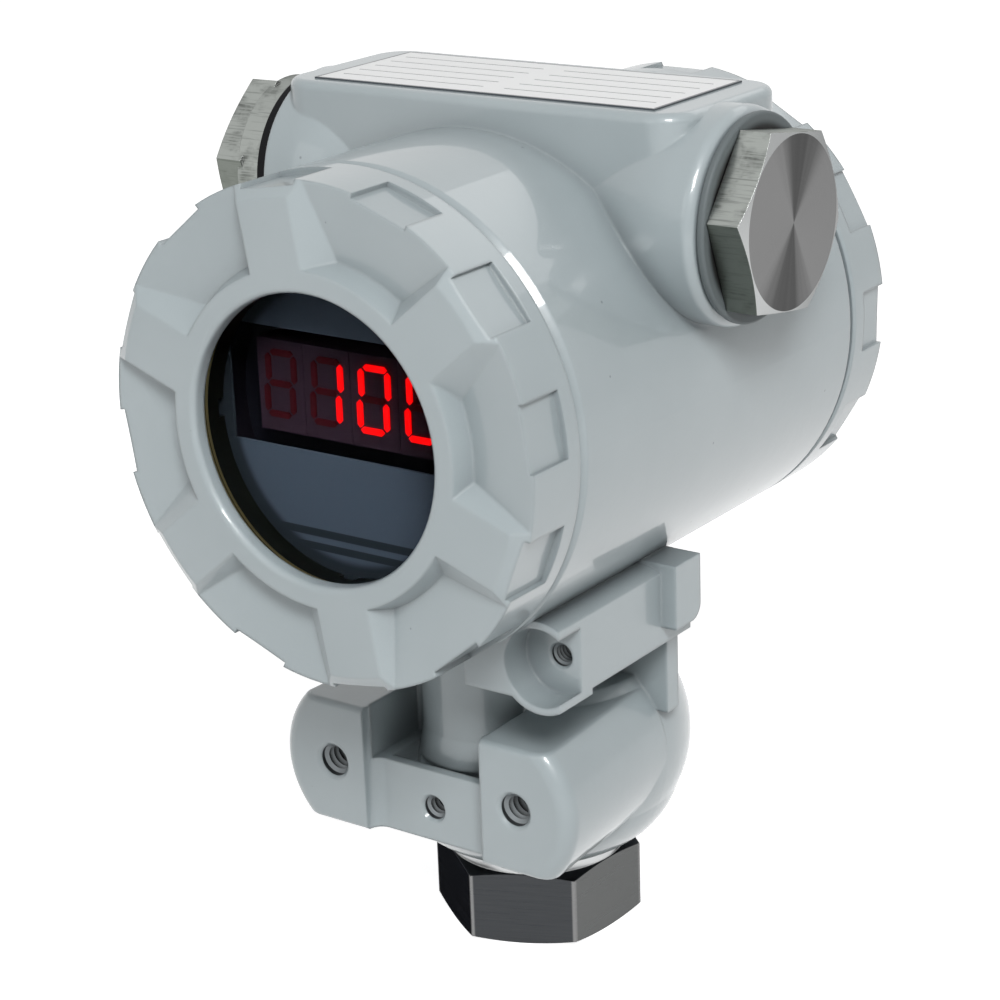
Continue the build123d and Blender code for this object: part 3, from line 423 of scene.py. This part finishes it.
# %% [markdown]
# ## Enamel
# The housing and its covers are one paint: a glossy grey enamel that rounds every edge. The round comes
# from a bevel in the shader, so the solids stay as they are. Little light reaches the corners of a casting,
# so an ambient occlusion node paints shade into the colour there. Where a cover screws in, the thread is
# bare metal. It is told from the paint by a mask round the barrel's axis.

# %% Enamel finish
ENAMEL = (0.325, 0.374, 0.390)
ENAMEL_LIGHT = (0.350, 0.399, 0.415)
PINHOLE_AND_SHADE = (0.12, 0.14, 0.15)
BARE = (0.45, 0.45, 0.44)
BORE_SHADE = (0.020, 0.022, 0.024)
PINHOLE_DARK = 0.6
PAINTED_SHADE_REACH = 0.008
PAINTED_SHADE_SPAN = (0.25, 0.85)
PAINTED_SHADE_MOST = 0.62
BARE_THREAD = 14.0
PAINT_ROUND = 0.0008
AXIS_Z = 0.1004
ALONG_Y = (math.radians(90), 0, 0)


def enamel_finish(name, threads, shaded_holes=()):
    """Enamel with bare threads and painted shade inside the holes; each is a set of values for the thread
    group.
    """
    finish, tree, shader, place = new_finish(
        name, Roughness=0.34, Coat_Weight=0.6, Coat_Roughness=0.035
    )
    skin = use_group(tree, enamel_skin, Vector=place)
    colour = mix_colour(tree, skin["Shade"], ENAMEL, ENAMEL_LIGHT)
    pinholes = calc(tree, "MULTIPLY", skin["Pinholes"], PINHOLE_DARK)
    colour = mix_colour(tree, pinholes, colour, PINHOLE_AND_SHADE)
    # Painted shade: where an ambient occlusion node finds little open space, the colour turns darker.
    painted_shade = add(tree, "ShaderNodeAmbientOcclusion", samples=4)
    painted_shade.inputs["Distance"].default_value = PAINTED_SHADE_REACH
    shaded = between(tree, painted_shade.outputs["AO"], *PAINTED_SHADE_SPAN, PAINTED_SHADE_MOST, 0.0)
    colour = mix_colour(tree, shaded, colour, PINHOLE_AND_SHADE)
    # Painted shade: inside each listed hole the bore is coloured near black.
    for values in shaded_holes:
        hole = use_group(tree, screw_thread, Vector=place, Turn=ALONG_Y, **values)
        colour = mix_colour(tree, hole["Mask"], colour, BORE_SHADE)
    height = skin["Height"]
    bare = 0.0
    for values in threads:
        thread = use_group(tree, screw_thread, Vector=place, **values)
        deep = calc(tree, "MULTIPLY", thread["Height"], thread["Mask"])
        height = calc(tree, "MULTIPLY_ADD", deep, BARE_THREAD, height)
        bare = calc(tree, "MAXIMUM", bare, thread["Mask"])
    feed(tree, shader.inputs["Base Color"], mix_colour(tree, bare, colour, BARE))
    feed(tree, shader.inputs["Metallic"], bare)
    bump(tree, shader, height, 0.2, 0.0001, PAINT_ROUND)
    return finish


COVER_PITCH = 0.002
MOUTH_R = 0.0343
MASK_INWARDS = 0.001
MASK_OUTWARDS = 0.0005
MASK_LENGTH = 0.012
spigot_ends = (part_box("front_cover")[1].y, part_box("rear_cover")[0].y)
spigots = [
    {"Centre": (0, y, AXIS_Z), "Turn": ALONG_Y, "Pitch": COVER_PITCH, "Inner": MOUTH_R - MASK_INWARDS,
     "Outer": MOUTH_R + MASK_OUTWARDS, "Start": -MASK_LENGTH, "End": MASK_LENGTH}
    for y in spigot_ends
]
dress(enamel_finish("cover_enamel", spigots), "front_cover", "rear_cover")

# %% [markdown]
# ## Threads in the tapped holes
# The two bracket holes, the tongue's hole and the ground screw's hole are tapped. Seen from close by, the
# crests catch the light, so each thread is a real ridge: a small triangle carried round a helix against
# the wall of the CAD model's bore.

# %% Tapped holes
THREAD_STEPS = 28
THREAD_DEPTH = 0.5
THREAD_FOOT = 0.34


def thread_ridge(name, mouth, radius, pitch, turns):
    """A triangular ridge round the wall of a hole that runs along +Y from its mouth."""
    shape = bmesh.new()
    crest = radius - THREAD_DEPTH * pitch
    foot = THREAD_FOOT * pitch
    rings = []
    for step in range(int(turns * THREAD_STEPS) + 1):
        angle = 2 * math.pi * step / THREAD_STEPS
        depth = mouth[1] + foot + pitch * step / THREAD_STEPS
        ring = []
        for reach, along in ((radius, -foot), (crest, 0.0), (radius, foot)):
            x = mouth[0] + reach * math.cos(angle)
            z = mouth[2] + reach * math.sin(angle)
            ring.append(shape.verts.new((x, depth + along, z)))
        rings.append(ring)
    for first, second in zip(rings, rings[1:]):
        for a, b in ((0, 1), (1, 2), (2, 0)):
            shape.faces.new((first[a], first[b], second[b], second[a]))
    shape.faces.new(rings[0][::-1])
    shape.faces.new(rings[-1])
    bmesh.ops.recalc_face_normals(shape, faces=shape.faces)
    mesh = bpy.data.meshes.new(name)
    shape.to_mesh(mesh)
    shape.free()
    ridge = bpy.data.objects.new(name, mesh)
    bpy.context.scene.collection.objects.link(ridge)
    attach(ridge, "housing")


INCH = 0.0254
BRACKET_X, BRACKET_Y, BRACKET_Z = 0.01835, -0.0316, 0.03534
BRACKET_R = 0.00275
tapped = {
    "bracket_thread_left": ((-BRACKET_X, BRACKET_Y, BRACKET_Z), BRACKET_R, INCH / 20, 8),
    "bracket_thread_right": ((BRACKET_X, BRACKET_Y, BRACKET_Z), BRACKET_R, INCH / 20, 8),
    "tongue_thread": ((0, -0.0287, 0.0300), 0.00205, INCH / 24, 8),
    "ground_thread": ((0.0262, -0.0287, 0.0627), 0.0019, INCH / 32, 9),
}

# %% Metal of the tapped holes
ROOT_SHADE_REACH = 0.0012
ROOT_SHADE_SPAN = (0.35, 0.75)
ROOT_PAINTED_SHADE = (0.012, 0.014, 0.015)
CREST_GREY = (0.20, 0.22, 0.23)
HOLE_MARGIN = 0.0003
HOLE_LENGTH = 0.02

tapped_metal, tree, shader, place = new_finish("tapped_metal", Metallic=0.3, Roughness=0.4)
# Painted shade: at the thread's roots an ambient occlusion node darkens the colour; the crests stay grey.
root_shade = add(tree, "ShaderNodeAmbientOcclusion", samples=8)
root_shade.inputs["Distance"].default_value = ROOT_SHADE_REACH
crest = between(tree, root_shade.outputs["AO"], *ROOT_SHADE_SPAN)
feed(tree, shader.inputs["Base Color"], mix_colour(tree, crest, ROOT_PAINTED_SHADE, CREST_GREY))
lines = use_group(tree, drawn_lines, Vector=place, Stretch=(900, 900, 900))
bump(tree, shader, lines["Height"], 0.3, 0.00003)
for name, values in tapped.items():
    thread_ridge(name, *values)
    dress(tapped_metal, name)
# The bores of these holes get painted shade in the enamel: near black inside.
shaded_bores = [
    {"Centre": mouth, "Outer": radius + HOLE_MARGIN, "End": HOLE_LENGTH}
    for mouth, radius, _, _ in tapped.values()
]
dress(enamel_finish("housing_enamel", spigots, shaded_bores), "housing_casting")

# %% [markdown]
# ## Steel
# The plugs are turned on their faces and left as drawn bar on their flats, with a bright bevel between.
# Turning leaves grooves round the axis, which stretch each reflection into a fan. The shader's anisotropy
# with a radial tangent stretches it, and a grey that changes with the angle paints the fan's dark and
# pale parts into the colour as a painted reflection. The process hexagon is darker, with bright corners and
# a bright turned collar. Its flats, and the undersides of the plugs, carry painted shade and light: each is
# darker or lighter by the side it faces.

# %% Plug steel
PAINTED_FAN_GREYS = ((0.080, 0.080, 0.080), (0.215, 0.215, 0.215))
PLUG_FLAT = (0.38, 0.40, 0.38)
PLUG_STAIN = (0.15, 0.16, 0.15)
PLUG_UNDER_SHADE = (0.105, 0.12, 0.10)
PLUG_BEVEL = (0.40, 0.41, 0.41)
FAN_TURN = math.radians(77)
FAN_STREAKS = 3.0
FAN_UNEVEN = 0.9
PLUG_PITCH = 0.001814
PLUG_THREAD = 60.0
PLUG_Z = 0.1276
SHANK_R = 0.0124
SHANK_START, SHANK_END = -0.0405, 0.0445
FACE_SQUARE = 0.98
FLAT_SQUARE = 0.1
ALONG_X = (0, math.radians(-90), 0)


def steel_normal(tree):
    """The face's own normal on the object."""
    return add(tree, "ShaderNodeTexCoord").outputs["Normal"]


plug_steel, tree, shader, place = new_finish(
    "plug_steel", Metallic=1.0, Anisotropic=0.8, Specular_Tint=(0.5, 0.5, 0.5)
)
tangent = add(tree, "ShaderNodeTangent", direction_type="RADIAL", axis="X")
tree.links.new(tangent.outputs[0], shader.inputs["Tangent"])
square = use_group(tree, facing, Normal=steel_normal(tree), Axis=(1, 0, 0))["Amount"]
face = calc(tree, "GREATER_THAN", square, FACE_SQUARE)
shank = use_group(
    tree, screw_thread, Vector=place, Centre=(0, 0, PLUG_Z), Turn=ALONG_X, Pitch=PLUG_PITCH,
    Outer=SHANK_R, Start=SHANK_START, End=SHANK_END
)
flat = calc(tree, "LESS_THAN", square, FLAT_SQUARE)
rings = use_group(tree, turned_rings, Vector=place, Centre=(0, 0, PLUG_Z), Axis=(1, 0, 0))
lines = use_group(tree, drawn_lines, Vector=place, Stretch=(120, 2600, 2600), Stain_Scale=300.0)
worn = calc(tree, "MULTIPLY", lines["Stain"], between(tree, lines["Height"], 0.4, 0.6, 1.0, 0.2))
worn = calc(tree, "MAXIMUM", worn, between(tree, lines["Height"], 0.52, 0.68, 0.0, 0.55))
side_colour = mix_colour(tree, worn, PLUG_FLAT, PLUG_STAIN)
# Painted shade: faces that look downwards are darker.
_, _, rise = split(tree, steel_normal(tree))
side_colour = mix_colour(tree, between(tree, rise, -0.5, 0.3, 0.8, 0.0), side_colour, PLUG_UNDER_SHADE)
colour = mix_colour(tree, flat, PLUG_BEVEL, side_colour)
# Painted reflection: a fan of dark and pale grey round the plug's axis, broken into streaks by noise.
_, y, z = split(tree, place)
angle = calc(tree, "ARCTAN2", calc(tree, "SUBTRACT", z, PLUG_Z), y)
painted_fan = calc(tree, "COSINE", calc(tree, "MULTIPLY_ADD", angle, 2.0, -2 * FAN_TURN))
fine = add(tree, "ShaderNodeTexNoise", noise_dimensions="1D")
feed(tree, fine.inputs["W"], angle)
fine.inputs["Scale"].default_value = FAN_STREAKS
painted_fan = calc(tree, "MULTIPLY_ADD", calc(tree, "SUBTRACT", fine.outputs[0], 0.5), FAN_UNEVEN, painted_fan)
turned = mix_colour(tree, between(tree, painted_fan, 0.1, 1.1), PAINTED_FAN_GREYS[1], PAINTED_FAN_GREYS[0])
feed(tree, shader.inputs["Base Color"], mix_colour(tree, face, colour, turned))
feed(tree, shader.inputs["Roughness"], calc(tree, "MULTIPLY_ADD", flat, 0.16, 0.24))
turned_height = calc(tree, "MULTIPLY", rings["Height"], calc(tree, "SUBTRACT", 1.0, flat))
height = calc(tree, "MULTIPLY_ADD", calc(tree, "MULTIPLY", lines["Height"], flat), 2.5, turned_height)
groove = calc(tree, "MULTIPLY", shank["Height"], shank["Mask"])
height = calc(tree, "MULTIPLY_ADD", groove, PLUG_THREAD, height)
bump(tree, shader, height, 0.25, 0.00006, 0.0002)
dress(plug_steel, "conduit_plug_left", "conduit_plug_right")

# %% Hexagon steel
HEX_TOP = 0.013
HEX_ACROSS = 0.0312
HEX_CORNER = HEX_ACROSS / math.sqrt(3)
CORNER_BAND = 0.00032
HEX_FLATS_SHADED_AND_LIT = ((0.050, 0.053, 0.062), (0.040, 0.043, 0.047), (0.125, 0.128, 0.127))
HEX_EDGE = (0.20, 0.20, 0.20)
HEX_COLLAR = (0.5, 0.51, 0.51)

hex_steel, tree, shader, place = new_finish(
    "hexagon_steel", Metallic=1.0, Specular_Tint=(0.2, 0.2, 0.2)
)
rings = use_group(tree, turned_rings, Vector=place, Axis=(0, 0, 1))
lines = use_group(tree, drawn_lines, Vector=place, Stretch=(90, 90, 3000), Stain_Scale=160.0)
_, _, z = split(tree, place)
collar = calc(tree, "GREATER_THAN", z, HEX_TOP)
# A narrow band along each corner takes the lighter edge grey.
corner = between(tree, rings["Radius"], HEX_CORNER - CORNER_BAND, HEX_CORNER - CORNER_BAND / 2)
# Painted shade and light: each flat's grey is set by the side it faces, lightest towards +X.
side, _, _ = split(tree, steel_normal(tree))
colour = mix_colour(tree, between(tree, side, -0.5, 0.35), HEX_FLATS_SHADED_AND_LIT[0], HEX_FLATS_SHADED_AND_LIT[1])
colour = mix_colour(tree, between(tree, side, 0.45, 0.95), colour, HEX_FLATS_SHADED_AND_LIT[2])
colour = mix_colour(tree, calc(tree, "MULTIPLY", lines["Height"], 0.15), colour, HEX_EDGE)
colour = mix_colour(tree, corner, colour, HEX_EDGE)
feed(tree, shader.inputs["Base Color"], mix_colour(tree, collar, colour, HEX_COLLAR))
feed(tree, shader.inputs["Roughness"], calc(tree, "MULTIPLY_ADD", lines["Height"], 0.2, 0.2))
bump(tree, shader, lines["Height"], 0.12, 0.00005, 0.00025)
dress(hex_steel, "process_connection")

# %% Inner steel
def plain_steel(name, colour, axis, centre=(0, 0, 0)):
    """Steel with turned rings round an axis."""
    finish, tree, shader, place = new_finish(name, Metallic=1.0, Roughness=0.3, Base_Color=colour)
    rings = use_group(tree, turned_rings, Vector=place, Centre=centre, Axis=axis, Rings=3000.0)
    bump(tree, shader, rings["Height"], 0.2, 0.00005)
    return finish


dress(plain_steel("capsule_steel", (0.55, 0.55, 0.56), (0, 0, 1)), "sensor_capsule", "sensor_diaphragm",
      "capsule_lock_ring")
dress(plain_steel("screw_steel", (0.6, 0.6, 0.6), (0, 1, 0)), "display_pillars", "display_screws",
      "terminal_clamps", "terminal_screws", "inner_ground_screw")

# %% [markdown]
# ## Window
# The glass lets the lamps' light through to the display. A plain glass shader would cast a full shadow,
# so rays that only ask for shadow pass straight through. The glass is coated, so it mirrors little of the
# white floor and the display stays dark. Behind it a brass ring holds it. The ring is dark, with painted
# gold glints in fine rings on its face.
# The seals are black rubber. The right plug's seal has a grey outer rim: painted shade, in the tone of
# the enamel in shade around it.

# %% Glass
def see_through(tree, shader, tint):
    """Bend the view without a mirror image, as coated glass does, and let shadow rays pass."""
    clear = add(tree, "ShaderNodeBsdfTransparent")
    clear.inputs[0].default_value = (*tint, 1)
    bent = add(tree, "ShaderNodeBsdfRefraction")
    bent.inputs["Color"].default_value = shader.inputs["Base Color"].default_value
    bent.inputs["Roughness"].default_value = 0.0
    bent.inputs["IOR"].default_value = shader.inputs["IOR"].default_value
    path = add(tree, "ShaderNodeLightPath").outputs
    first = add(tree, "ShaderNodeMixShader")
    feed(tree, first.inputs[0], calc(tree, "LESS_THAN", path["Diffuse Depth"], NO_BOUNCE))
    tree.links.new(shader.outputs[0], first.inputs[1])
    tree.links.new(bent.outputs[0], first.inputs[2])
    choose = add(tree, "ShaderNodeMixShader")
    feed(tree, choose.inputs[0], path["Is Shadow Ray"])
    tree.links.new(first.outputs[0], choose.inputs[1])
    tree.links.new(clear.outputs[0], choose.inputs[2])
    tree.links.new(choose.outputs[0], tree.nodes["Material Output"].inputs["Surface"])


glass, tree, shader, _ = new_finish(
    "window_glass", Base_Color=(0.94, 0.97, 0.98), Roughness=0.0, IOR=1.5, Transmission_Weight=1.0
)
see_through(tree, shader, (0.9, 0.94, 0.95))
dress(glass, "window_glass")

# %% Seals and the lock ring
SHADED_ENAMEL_GREY = (0.13, 0.15, 0.155)
SEAL_BLACK = (0.010, 0.010, 0.010)
GREY_RIM_SPAN = (0.0138, 0.0152)

rubber, tree, shader, place = new_finish(
    "seal_rubber", Base_Color=(0.008, 0.008, 0.009), Roughness=0.6, Specular_IOR_Level=0.08
)
skin = use_group(tree, enamel_skin, Vector=place, Peel_Scale=2500.0, Wave_Height=0.0)
bump(tree, shader, skin["Height"], 0.2, 0.0001)
dress(rubber, "front_cover_seal", "rear_cover_seal", "capsule_seal", "window_gasket", "plug_seal_left")

seal_with_shaded_rim, tree, shader, place = new_finish("seal_with_shaded_rim", Roughness=0.5, Specular_IOR_Level=0.2)
reach = use_group(tree, turned_rings, Vector=place, Centre=(0, 0, PLUG_Z), Axis=(1, 0, 0))["Radius"]
skin = use_group(tree, enamel_skin, Vector=place, Wave_Height=0.0)
# Painted shade: the seal's outer rim is grey, the tone of the enamel in shade.
grey_rim = between(tree, reach, *GREY_RIM_SPAN)
feed(tree, shader.inputs["Base Color"], mix_colour(tree, grey_rim, SEAL_BLACK, SHADED_ENAMEL_GREY))
bump(tree, shader, skin["Height"], 0.2, 0.0001)
dress(seal_with_shaded_rim, "plug_seal_right")

BRASS = (0.55, 0.46, 0.25)
RING_DARK = (0.014, 0.014, 0.010)
brass, tree, shader, place = new_finish("lock_ring_brass", Metallic=0.8, Roughness=0.32)
square = use_group(tree, facing, Normal=steel_normal(tree), Axis=(0, 1, 0))["Amount"]
rings = use_group(tree, turned_rings, Vector=place, Centre=(0, 0, AXIS_Z), Axis=(0, 1, 0), Rings=5000.0)
# Painted glint: brass shows in fine rings on the face; the rest of the ring stays dark.
painted_glint = calc(tree, "MULTIPLY", between(tree, square, 0.5, 0.9), between(tree, rings["Height"], 0.3, 0.5))
feed(tree, shader.inputs["Base Color"], mix_colour(tree, painted_glint, RING_DARK, BRASS))
bump(tree, shader, rings["Height"], 0.4, 0.00008)
dress(brass, "window_lock_ring")

# %% [markdown]
# ## Display
# Behind the window lies a printed slate-blue plate with a smoked filter over the digits. The lit segments
# glow a pure red. The others are only just visible, as they are in the photograph. The filter bends the
# view as the glass does.
# Towards its rim the plate darkens, a painted shadow of the ring in front of it.

# %% Digits and filter
GLOW = ((0.8, 0.0, 0.0), (1.0, 0.0, 0.0))
GLOW_STRENGTH = 2.4
UNLIT = ((0.085, 0.010, 0.012), (0.12, 0.014, 0.016))
MODULE = ((0.066, 0.044, 0.054), (0.078, 0.053, 0.064))

lit, tree, shader, place = new_finish("lit_segment", Base_Color=(0.5, 0.0, 0.0), Roughness=0.6)
glow = between(tree, noise(tree, place, 900.0), 0.2, 0.8, 0.85, 1.0)
feed(tree, shader.inputs["Emission Color"], mix_colour(tree, glow, *GLOW))
shader.inputs["Emission Strength"].default_value = GLOW_STRENGTH
dress(lit, "digit_segments_lit")

unlit, tree, shader, place = new_finish("dark_segment", Roughness=0.6, Specular_IOR_Level=0.1)
feed(tree, shader.inputs["Base Color"], mix_colour(tree, noise(tree, place, 700.0), *UNLIT))
dress(unlit, "digit_segments_dark")

smoked, tree, shader, _ = new_finish(
    "smoked_filter", Base_Color=(0.70, 0.66, 0.70), Roughness=0.0, IOR=1.2, Transmission_Weight=1.0
)
see_through(tree, shader, (0.75, 0.70, 0.74))
dress(smoked, "display_filter")

module, tree, shader, place = new_finish("digit_module", Roughness=0.6, Specular_IOR_Level=0.1)
feed(tree, shader.inputs["Base Color"], mix_colour(tree, noise(tree, place, 1400.0), *MODULE))
dress(module, "digit_blocks")

# %% Printed plate
PRINT = (0.050, 0.060, 0.079)
PRINT_AND_SHADOW_DARK = (0.016, 0.019, 0.023)
PRINT_GRAIN = 1.08
STRIPES = ((-0.0187, -0.0174), (-0.02095, -0.0197))
STRIPE_EDGE = 0.0001
RIM_SHADOW_SPAN = (0.0212, 0.0228)

plate, tree, shader, place = new_finish("printed_plate", Roughness=0.6, Specular_IOR_Level=0.05)
_, _, z = split(tree, place)
rise = calc(tree, "SUBTRACT", z, AXIS_Z)
dark = 0.0
for low, high in STRIPES:
    above = between(tree, rise, low - STRIPE_EDGE, low + STRIPE_EDGE)
    below = between(tree, rise, high - STRIPE_EDGE, high + STRIPE_EDGE, 1.0, 0.0)
    dark = calc(tree, "MAXIMUM", dark, calc(tree, "MULTIPLY", above, below))
# Painted shadow: towards its rim the plate takes the dark colour, as if shaded by the ring in front.
rim = use_group(tree, turned_rings, Vector=place, Centre=(0, 0, AXIS_Z), Axis=(0, 1, 0))["Radius"]
dark = calc(tree, "MAXIMUM", dark, between(tree, rim, *RIM_SHADOW_SPAN))
grain = noise(tree, place, 2400.0)
ink = mix_colour(tree, grain, PRINT, tuple(PRINT_GRAIN * c for c in PRINT))
feed(tree, shader.inputs["Base Color"], mix_colour(tree, dark, ink, PRINT_AND_SHADOW_DARK))
dress(plate, "display_faceplate")

# %% Mouldings, boards and leads
BOARDS = {
    "main_board": ((0.015, 0.09, 0.035), (0.02, 0.13, 0.05)),
    "display_board": ((0.036, 0.042, 0.048), (0.046, 0.052, 0.058)),
}

moulded, tree, shader, place = new_finish("black_moulding", Base_Color=(0.016, 0.016, 0.018), Roughness=0.5)
skin = use_group(tree, enamel_skin, Vector=place, Peel_Scale=3500.0, Wave_Height=0.0)
bump(tree, shader, skin["Height"], 0.3, 0.0001)
dress(moulded, "display_case", "terminal_block", "sensor_connector", "feedthrough")

for name, lacquers in BOARDS.items():
    board, tree, shader, place = new_finish(name + "_mask", Roughness=0.5, Specular_IOR_Level=0.1)
    skin = use_group(tree, enamel_skin, Vector=place, Peel_Scale=600.0)
    feed(tree, shader.inputs["Base Color"], mix_colour(tree, skin["Shade"], *lacquers))
    dress(board, name)

sleeve, tree, shader, place = new_finish("lead_sleeve", Base_Color=(0.7, 0.69, 0.64), Roughness=0.6)
lines = use_group(tree, drawn_lines, Vector=place, Stretch=(900, 900, 120))
bump(tree, shader, lines["Height"], 0.3, 0.0001)
dress(sleeve, "sensor_lead_sleeve")

# %% [markdown]
# ## Label
# The flat pad on top carries a white printed label. Here it is a blank form: a thin dark frame and a few
# ruled lines for entries.

# %% Label
LABEL_WHITE = (0.84, 0.85, 0.85)
LABEL_INK = (0.05, 0.06, 0.07)
RULE_PITCH = 0.0042
RULE_WIDTH = 0.00035
RULE_INSET = 0.0025
MIDDLE_GAP = 0.002
FRAME_SPAN = (0.0004, 0.0006)

label, tree, shader, place = new_finish("label_film", Roughness=0.3)
x, y, _ = split(tree, place)
low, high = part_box("label_plate")
centre = (low + high) / 2
half = (high - low) / 2
from_x = calc(tree, "ABSOLUTE", calc(tree, "SUBTRACT", x, centre.x))
from_y = calc(tree, "SUBTRACT", y, centre.y)
in_x = calc(tree, "SUBTRACT", half.x, from_x)
inset = calc(tree, "MINIMUM", in_x, calc(tree, "SUBTRACT", half.y, calc(tree, "ABSOLUTE", from_y)))
border = between(tree, inset, *FRAME_SPAN, 1.0, 0.0)
rule = calc(tree, "LESS_THAN", calc(tree, "PINGPONG", from_y, RULE_PITCH / 2), RULE_WIDTH / 2)
inner = calc(tree, "GREATER_THAN", inset, RULE_INSET)
aside = calc(tree, "GREATER_THAN", from_x, MIDDLE_GAP)
field = calc(tree, "MULTIPLY", inner, aside)
ink = calc(tree, "MAXIMUM", border, calc(tree, "MULTIPLY", rule, field))
feed(tree, shader.inputs["Base Color"], mix_colour(tree, ink, LABEL_WHITE, LABEL_INK))
dress(label, "label_plate")

# %% [markdown]
# ## Close
# The box round all that is drawn is printed in millimetres.

# %% Sizes and finish
low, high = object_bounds()
print("visual box in mm:", [round(1000 * v) for v in low], [round(1000 * v) for v in high])
